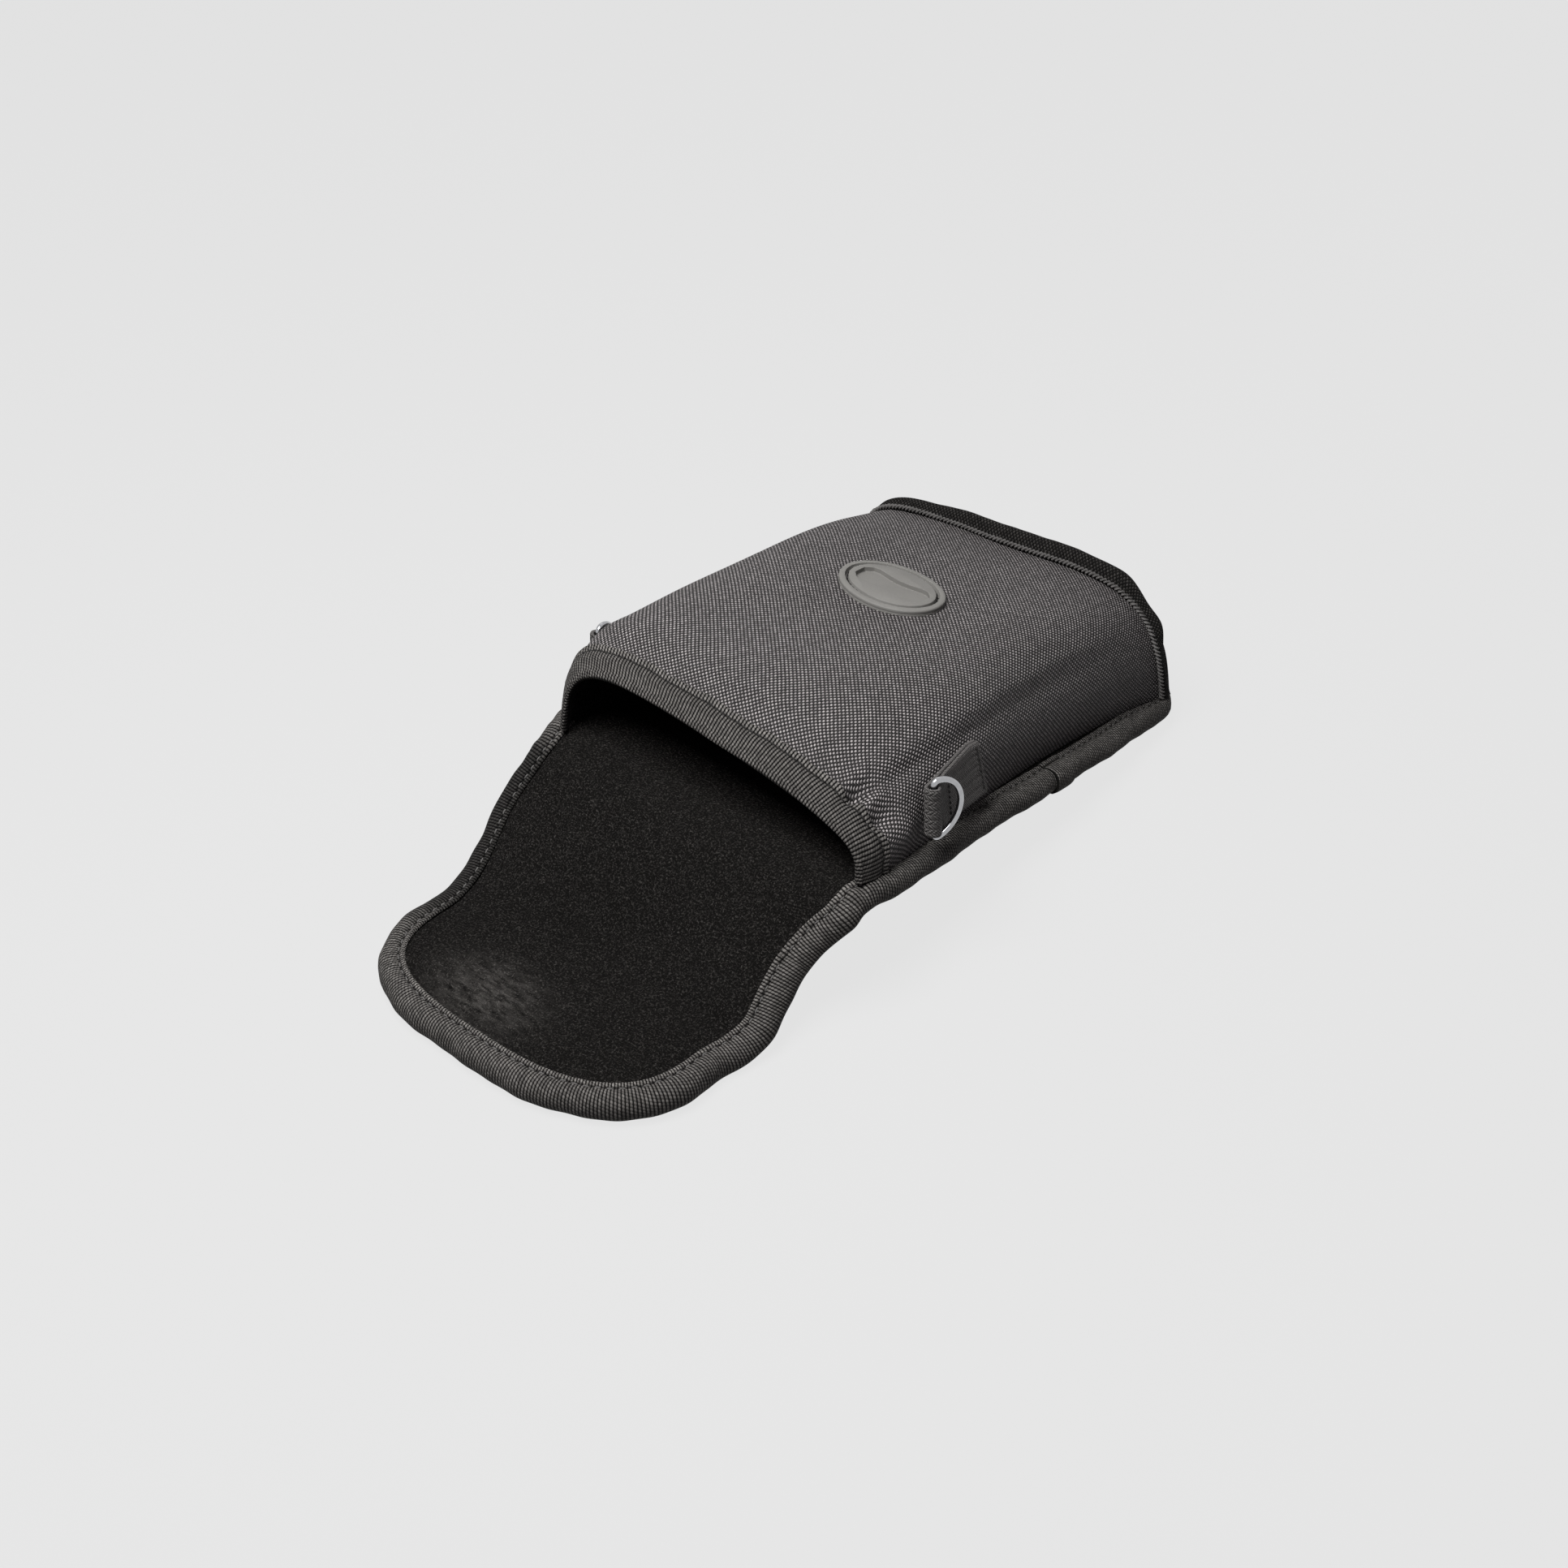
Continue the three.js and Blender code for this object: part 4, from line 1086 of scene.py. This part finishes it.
TAPE_PROFILE = (
    # distance in from the edge, height above the lining
    (9.5, 0.15), (9.3, 0.85), (8.8, 1.15), (8.1, 0.9), (7.2, 0.3), (6.4, 0.9), (5.0, 1.2),
    (3.4, 1.0), (2.0, 0.35), (0.95, -0.8), (0.3, -2.2), (0.0, -4.0), (0.3, -5.8), (0.95, -7.2),
    (2.0, -8.3), (3.6, -8.9), (6.5, -9.05), (9.3, -9.05), (9.5, -8.6), (9.3, -8.15), (3.6, -8.0),
    (1.6, -6.9), (0.9, -4.0), (1.6, -1.0), (3.6, -0.1), (8.0, -0.1),
)
TAPE_LEG, TAPE_MIDDLE = 9.5, -3.9
FLOOR_GAP = 0.00005
LAP_AT = 92.0


def thickness(s):
    """Share of the full thickness: the padded panel is thinner behind its mouth fold."""
    return 0.875 + 0.125 * smooth_steps(s, 232, 292)


def pucker(x, s, reach):
    """Small gathers across the tape at the mouth fold, and on its corners."""
    near = np.exp(-(((s - 213) / 12) ** 2)) * np.where(x > 0, 1.0, 0.55)
    tip = smooth_steps(s, 292, 318) * 0.35
    at_fold = ripple(reach, (5.6, 0.45, 0.4), (8.3, 0.35, 1.9))
    return near * at_fold + tip * ripple(reach, (7.1, 0.25, 0.2), (4.9, 0.18, 1.0))


def edge_tape(name, front, tape):
    path, inward, reach = edge_part(front)
    x, s = path[:, 0], path[:, 1]
    wave = ripple(reach, (53, 0.32, 0.2), (27, 0.22, 1.0), (11.5, 0.12, 2.2))
    fade = smooth_steps(reach, 0, 14) * smooth_steps(reach[-1] - reach, 0, 14)
    gather = pucker(x, s, reach) * fade
    rows = []
    for d, z in TAPE_PROFILE:
        near_edge = 1 - d / TAPE_LEG
        share = 1.0
        if z > TAPE_MIDDLE and not front:
            share = np.where(s < 60, 1 - 0.42 * (1 - smooth_steps(s, 10, 42)), 1.0)
        place = path + inward * (d * share - wave * fade * near_edge)[:, None]
        height = z * thickness(s)
        if z > TAPE_MIDDLE:
            swell = gather * (0.35 + 0.65 * math.sin(math.pi * min(d / TAPE_LEG, 1)))
            lift = 0.5 * ripple(reach, (41, 0.5, 1.0), (19, 0.4, 0.1)) * fade * near_edge
            height = z + swell + lift
        rows.append(on_panel(place[:, 0], place[:, 1], height))
    grid = np.stack(rows, 1)
    grid[..., 2] = np.maximum(grid[..., 2], FLOOR_GAP)
    piece = swept(name, grid, tape)
    # Painted shade along the tape on the left side of the neck.
    left = smooth_steps(-x, 20, 50)
    painted_share = left * smooth_steps(s, 205, 222) * (1 - smooth_steps(s, 278, 312))
    paint_shade(piece, np.repeat(painted_share, len(TAPE_PROFILE)))
    return piece, grid


def make_tape_lap(tape):
    """The turned-under end of the edge tape, lapped over its start on the right side."""
    ys = np.linspace(-5.5, 5.5, 14)
    grow = 0.7
    ease = 0.5 + 0.5 * np.sqrt(np.clip(1 - (ys / 5.6) ** 4, 0, 1))
    edge = curve_through(LAP_AT + ys, RIGHT_STOPS, RIGHT_WIDTHS) + 0.2
    rows = []
    for d, z in TAPE_PROFILE:
        out = grow if d < 2.5 else 0
        lift = grow if z > -4 else -grow * 0.4
        level = z if z > TAPE_MIDDLE else z * thickness(LAP_AT)
        rows.append(on_panel(edge - d + out * ease, LAP_AT + ys, level + lift * ease))
    piece = swept("tape_lap", np.stack(rows, 1), tape)
    belongs(piece, "binding_tape", "pouch", "binding_lap")


# ------------------------------------------------------------------ rings and tabs

LEFT_SUNK = 0.003
TAB_END, TAB_HALF = 38.0, 9.4
SEWN_LENGTH = 5


def ring_bar(side):
    """Where the ring's bar is: X out from the wall, Y along the tab, Z along the bar."""
    name = f"ring_{SIDES[side]}_swing"
    joint = next(j for j in frame["joints"] if j["name"] == name)
    z = -Vector(joint["axis"]).normalized()
    y = z.cross(Vector((1, 0, 0))).normalized()
    y = y if y.y > 0 else -y
    turned = Matrix((y.cross(z), y, z)).transposed().to_4x4()
    sunk = LEFT_SUNK if side < 0 else 0.0
    return Matrix.Translation(Vector(joint["pos_m"]) + z * sunk) @ turned


def make_ring(side, plated):
    """Round wire spun round into a D: bar, two tight corners and a round bow."""
    wire, corner, bow, lean = 0.0011, 0.0018, 0.0113, math.radians(10)
    bar = (bow - corner) * math.cos(lean)
    middle = corner - (bow - corner) * math.sin(lean)
    name = "ring_" + SIDES[side]
    ring = add_shape(bpy.ops.mesh.primitive_circle_add, "d_" + name, vertices=20, radius=wire)
    bpy.ops.object.mode_set(mode="EDIT")
    bpy.ops.mesh.select_all(action="SELECT")

    def straight(way):
        bpy.ops.mesh.extrude_region_move(TRANSFORM_OT_translate={"value": way})

    def bend(centre, angle, steps):
        bpy.ops.mesh.spin(steps=steps, angle=angle, center=centre, axis=(1, 0, 0))

    quarter = math.pi / 2
    straight((0, 0, bar))
    bend((0, corner, bar), quarter + lean, 9)
    bend((0, middle, 0), 2 * (quarter - lean), 36)
    bend((0, corner, -bar), quarter + lean, 9)
    straight((0, 0, bar))
    bpy.ops.mesh.select_all(action="SELECT")
    bpy.ops.mesh.remove_doubles(threshold=1e-5)
    bpy.ops.mesh.normals_make_consistent(inside=False)
    bpy.ops.object.mode_set(mode="OBJECT")
    ring.data.transform(ring_bar(side) @ Matrix.Rotation(math.radians(-15.5), 4, "Z"))
    if side < 0:
        face_outwards(ring)
    shade_smooth(ring)
    ring.data.materials.append(plated)
    belongs(ring, "ring_steel", name, name)


def wall_line(side, y, z):
    """The wall's line up and down at y, 8 mm each way from height z: x there and its slope."""
    steps = np.linspace(0, 1, 261)
    row, _ = shell_point(y, steps, 0.0)
    half = row[steps < 0.25] if side > 0 else row[steps > 0.75][::-1]
    wide = np.interp(z + np.linspace(-8, 8, 9), half[:, 2], np.abs(half[:, 0]))
    line = np.linspace(wide[0], wide[-1], 9)
    return (wide[0] + wide[-1]) / 2 + (wide - line).max(), (wide[-1] - wide[0]) / 16


def tab_section():
    """The webbing's cross section: place across it and height, all the way round."""
    edge = [(0.7, 0.74), (0.12, 0.5), (0.0, 0.0), (0.12, -0.5), (0.7, -0.7)]
    flat = np.linspace(-TAB_HALF + 1.4, TAB_HALF - 1.4, 15)
    section = [(-TAB_HALF + inset, h) for inset, h in edge[2::-1]]
    section += [(v, 0.66) for v in flat]
    section += [(TAB_HALF - inset, h) for inset, h in edge]
    section += [(v, -0.66) for v in flat[::-1]]
    return section + [(-TAB_HALF + inset, h) for inset, h in edge[:2:-1]]


def make_tab(side, webbing, thread):
    """One length of webbing round the ring's bar, both ends sewn to the wall."""
    outer = [(-0.66, y) for y in np.linspace(TAB_END, 10, 14)]
    slope = [(-0.66 + 1.91 * t, 10 - 8.25 * t) for t in (0.25, 0.55, 0.8)]
    loop = [(2.35 * math.cos(a), -2.5 * math.sin(a)) for a in np.linspace(-0.95, math.pi, 20)]
    back = [(-2.16, y) for y in np.linspace(1.2, TAB_END, 18)]
    path, _ = spaced_evenly(np.array(outer + slope + loop + back), 0.55)
    path = eased(path, 2)
    out = turned_right(unit(np.gradient(path, axis=0)))
    section = tab_section()
    grid = np.empty((len(path), len(section), 3))
    for k, (v, h) in enumerate(section):
        grid[:, k, :2] = path + out * h
        grid[:, k, 2] = v
    bar = ring_bar(side)
    middle = off_pouch(bar.translation)
    straight_to = TAB_END - SEWN_LENGTH

    def laid(points):
        """Straight from the ring's bar to the sewn end, which lies on the wall."""
        p = off_pouch(moved(points * MM, bar))
        p[..., 2] -= math.sin(LIE) * points[..., 1]
        share = np.clip(points[..., 1] / straight_to, 0, 1)
        lines = {}
        for index in np.ndindex(share.shape):
            y = max(round(float(p[index][1])), round(float(middle[1])) + straight_to)
            if y not in lines:
                lines[y] = wall_line(side, y, float(middle[2]))
            wide, slope = lines[y]
            wall = wide + slope * side * points[index][2] + points[index][0] + 3.1
            p[index][0] += share[index] * (side * wall - p[index][0])
        return on_pouch(p)

    tab = swept("webbing_tab_" + SIDES[side], laid(grid), webbing)
    belongs(tab, "webbing", "pouch", "ring_tab_" + SIDES[side])
    for index, at in enumerate((TAB_END - 2.2, 12.2)):
        line = laid(np.array([(0.12, at, v) for v in np.linspace(-8.6, 8.6, 30)]))
        up = np.repeat(np.array(bar)[None, :3, 0], len(line), 0)
        name = f"tab_stitches_{SIDES[side]}_{index}"
        belongs(stitch_row(name, line, up, 0.0021, 0.0017, 0.00028, thread), "webbing", "pouch")


# ------------------------------------------------------------------ badge and keeper

BADGE_PLACE, KEEPER_PLACE = 104.6, 36.0
BADGE_REACH, BADGE_HALF = 0.0210, 0.0165
BADGE_SEAM, SEAM_HEIGHT = 0.0031, 0.0016
BADGE_STEPS = (
    # inset and rise of each step from the rim over the groove to the raised field
    (0.0003, 0.0004), (0.0006, 0.0002), (0.0013, 0.0), (0.0002, -0.0016), (0.0010, 0.0),
    (0.0002, 0.0016), (0.0004, 0.00015),
)
PANEL_REACH, PANEL_HALF = 0.0148, 0.0059


def make_badge(rubber, thread):
    """Oval rubber badge: rounded rim, sewn groove, raised field with a bare recessed panel."""
    badge = add_shape(bpy.ops.mesh.primitive_cylinder_add, "oval_badge",
                      vertices=128, radius=1, depth=0.0006, location=(0, 0, 0.0003))
    bpy.ops.object.mode_set(mode="EDIT")
    bpy.ops.mesh.select_mode(type="FACE")
    bpy.ops.mesh.select_all(action="SELECT")
    bpy.ops.transform.resize(value=(BADGE_REACH, BADGE_HALF, 1))
    bpy.ops.mesh.select_all(action="DESELECT")
    bpy.ops.object.mode_set(mode="OBJECT")
    max(badge.data.polygons, key=lambda face: face.center.z).select = True
    bpy.ops.object.mode_set(mode="EDIT")

    def rise(height):
        bpy.ops.mesh.extrude_region_move(TRANSFORM_OT_translate={"value": (0, 0, height)})

    rise(0.0006)
    bpy.ops.mesh.inset(thickness=0.00025, depth=0.0)
    rise(0.0002)
    bpy.ops.transform.resize(value=(1.013, 1.016, 1))
    rise(0.0009)
    for inset, height in BADGE_STEPS:
        bpy.ops.mesh.inset(thickness=inset, depth=height)
    bpy.ops.object.mode_set(mode="OBJECT")
    cutter = bow_tie_cutter()
    hollow = badge.modifiers.new("bare_panel", "BOOLEAN")
    hollow.object = cutter
    hollow.operation = "DIFFERENCE"
    hollow.solver = "EXACT"
    bpy.ops.object.select_all(action="DESELECT")
    badge.select_set(True)
    bpy.context.view_layer.objects.active = badge
    bpy.ops.object.modifier_apply(modifier="bare_panel")
    bpy.data.objects.remove(cutter)
    soften = badge.modifiers.new("moulded_edges", "BEVEL")
    soften.width, soften.segments = 0.00018, 3
    soften.limit_method = "ANGLE"
    soften.angle_limit = math.radians(28)
    bpy.ops.object.modifier_apply(modifier="moulded_edges")
    bpy.ops.object.shade_smooth_by_angle(angle=math.radians(35))
    place, follow = seat_on_front(BADGE_PLACE, 0.0005)
    for vertex in badge.data.vertices:
        vertex.co.z += follow(vertex.co.x, vertex.co.y)
    badge.data.transform(place)
    face_outwards(badge)
    badge.data.materials.append(rubber)
    belongs(badge, "badge_rubber", "pouch", "badge")
    a = np.linspace(0, 2 * math.pi, 200)
    x, y = (BADGE_REACH - BADGE_SEAM) * np.cos(a), (BADGE_HALF - BADGE_SEAM) * np.sin(a)
    line = moved(np.stack([x, y, SEAM_HEIGHT + follow(x, y)], 1), place)
    up = np.repeat(np.array(place)[None, :3, 2], len(line), 0)
    sewn = stitch_row("badge_stitches", line, up, 0.0024, 0.0019, 0.00034, thread)
    belongs(sewn, "badge_rubber", "pouch")


def bow_tie_cutter():
    """A bar that is a little narrower in its middle, with its corners cut off."""
    cutter = add_shape(bpy.ops.mesh.primitive_cube_add, "bow_tie", size=1, location=(0, 0, 0.0032))
    bpy.ops.object.mode_set(mode="EDIT")
    bpy.ops.mesh.select_all(action="SELECT")
    bpy.ops.transform.resize(value=(2 * PANEL_REACH, 2 * PANEL_HALF, 0.0038))
    bpy.ops.mesh.subdivide(number_cuts=11)
    bpy.ops.object.mode_set(mode="OBJECT")
    for vertex in cutter.data.vertices:
        reach = abs(vertex.co.x) / PANEL_REACH
        pinch = 0.76 + 0.24 * min(reach / 0.62, 1) ** 1.6
        cut_off = 1 - 0.52 * max(reach - 0.80, 0) / 0.20
        vertex.co.y *= pinch * cut_off
    return cutter


def seat_on_front(along_pouch, sunk):
    """A place in the middle of the front, and how far the cloth bends away from it at x, y."""
    reach, aside, row, column = 17.0, 0.0012, 4, 27
    patch, _ = shell_grid(lambda y: 0, along_pouch - reach, along_pouch + reach, 9, 261)
    middle = int(np.argmin(np.abs(patch[row, :, 0] + aside)))
    patch = patch[:, middle - column : middle + column + 1]
    centre = patch[row, column]
    across = Vector(patch[row, 7] - patch[row, -8]).normalized()
    along = Vector(patch[7, column] - patch[1, column])
    up = across.cross(along).normalized()
    turned = Matrix((across, up.cross(across), up)).transposed()

    def terms(x, y):
        return x * x, x * y, y * y, x**3, x, y, x * 0 + 1

    local = (patch.reshape(-1, 3) - centre) @ np.array(turned)
    shape = np.stack(terms(local[:, 0], local[:, 1]), 1)
    bend = np.linalg.lstsq(shape, local[:, 2], rcond=None)[0]

    def follow(x, y):
        return sum(float(b) * t for b, t in zip(bend, terms(x, y)))

    return Matrix.Translation(Vector(centre) - up * sunk) @ turned.to_4x4(), follow


def make_keeper(steel):
    """Thin round steel plate under the front cloth, which the flap's magnet holds to."""
    plate = add_shape(bpy.ops.mesh.primitive_cylinder_add, "keeper_plate",
                      vertices=64, radius=0.009, depth=0.001)
    edge = plate.modifiers.new("rolled_edge", "BEVEL")
    edge.width, edge.segments = 0.0003, 3
    bpy.ops.object.modifier_apply(modifier="rolled_edge")
    place, _ = seat_on_front(KEEPER_PLACE, 0.0034)
    plate.data.transform(place)
    plate.data.materials.append(steel)
    belongs(plate, "closure_steel", "pouch", "closure_keeper")


# ------------------------------------------------------------------ putting it together

place_camera()
light_the_room()
lay_floor()

weave = coarse_plain_weave()
canvas = fine_black_canvas()
lining = brushed_loop_lining()
tape = ribbed_tape("ribbed_tape", 0.09, 0.165, 0.06, 0.0011, 0.0030)
mouth_tape = ribbed_tape("ribbed_mouth_tape", 0.09, 0.155, 0.01, 0.0013, 0.0042)
webbing = black_webbing()
plated = plated_wire()
rubber = moulded_rubber()
dark_thread = sewing_thread("dark_thread", 0.02)
grey_thread = sewing_thread("grey_thread", 0.11)
steel = plain_steel_plate()

make_shell(weave, lining)
make_mouth_tape(mouth_tape, dark_thread)
make_bottom_end(canvas, lining)
make_flange(canvas, grey_thread)
make_panels(canvas, lining, tape, grey_thread)
make_tape_lap(tape)
for side in (1, -1):
    make_ring(side, plated)
    make_tab(side, webbing, dark_thread)
make_badge(rubber, dark_thread)
make_keeper(steel)
magnet = frame["nodes"]["flap_magnet"]
magnet.data.materials.clear()
magnet.data.materials.append(steel)
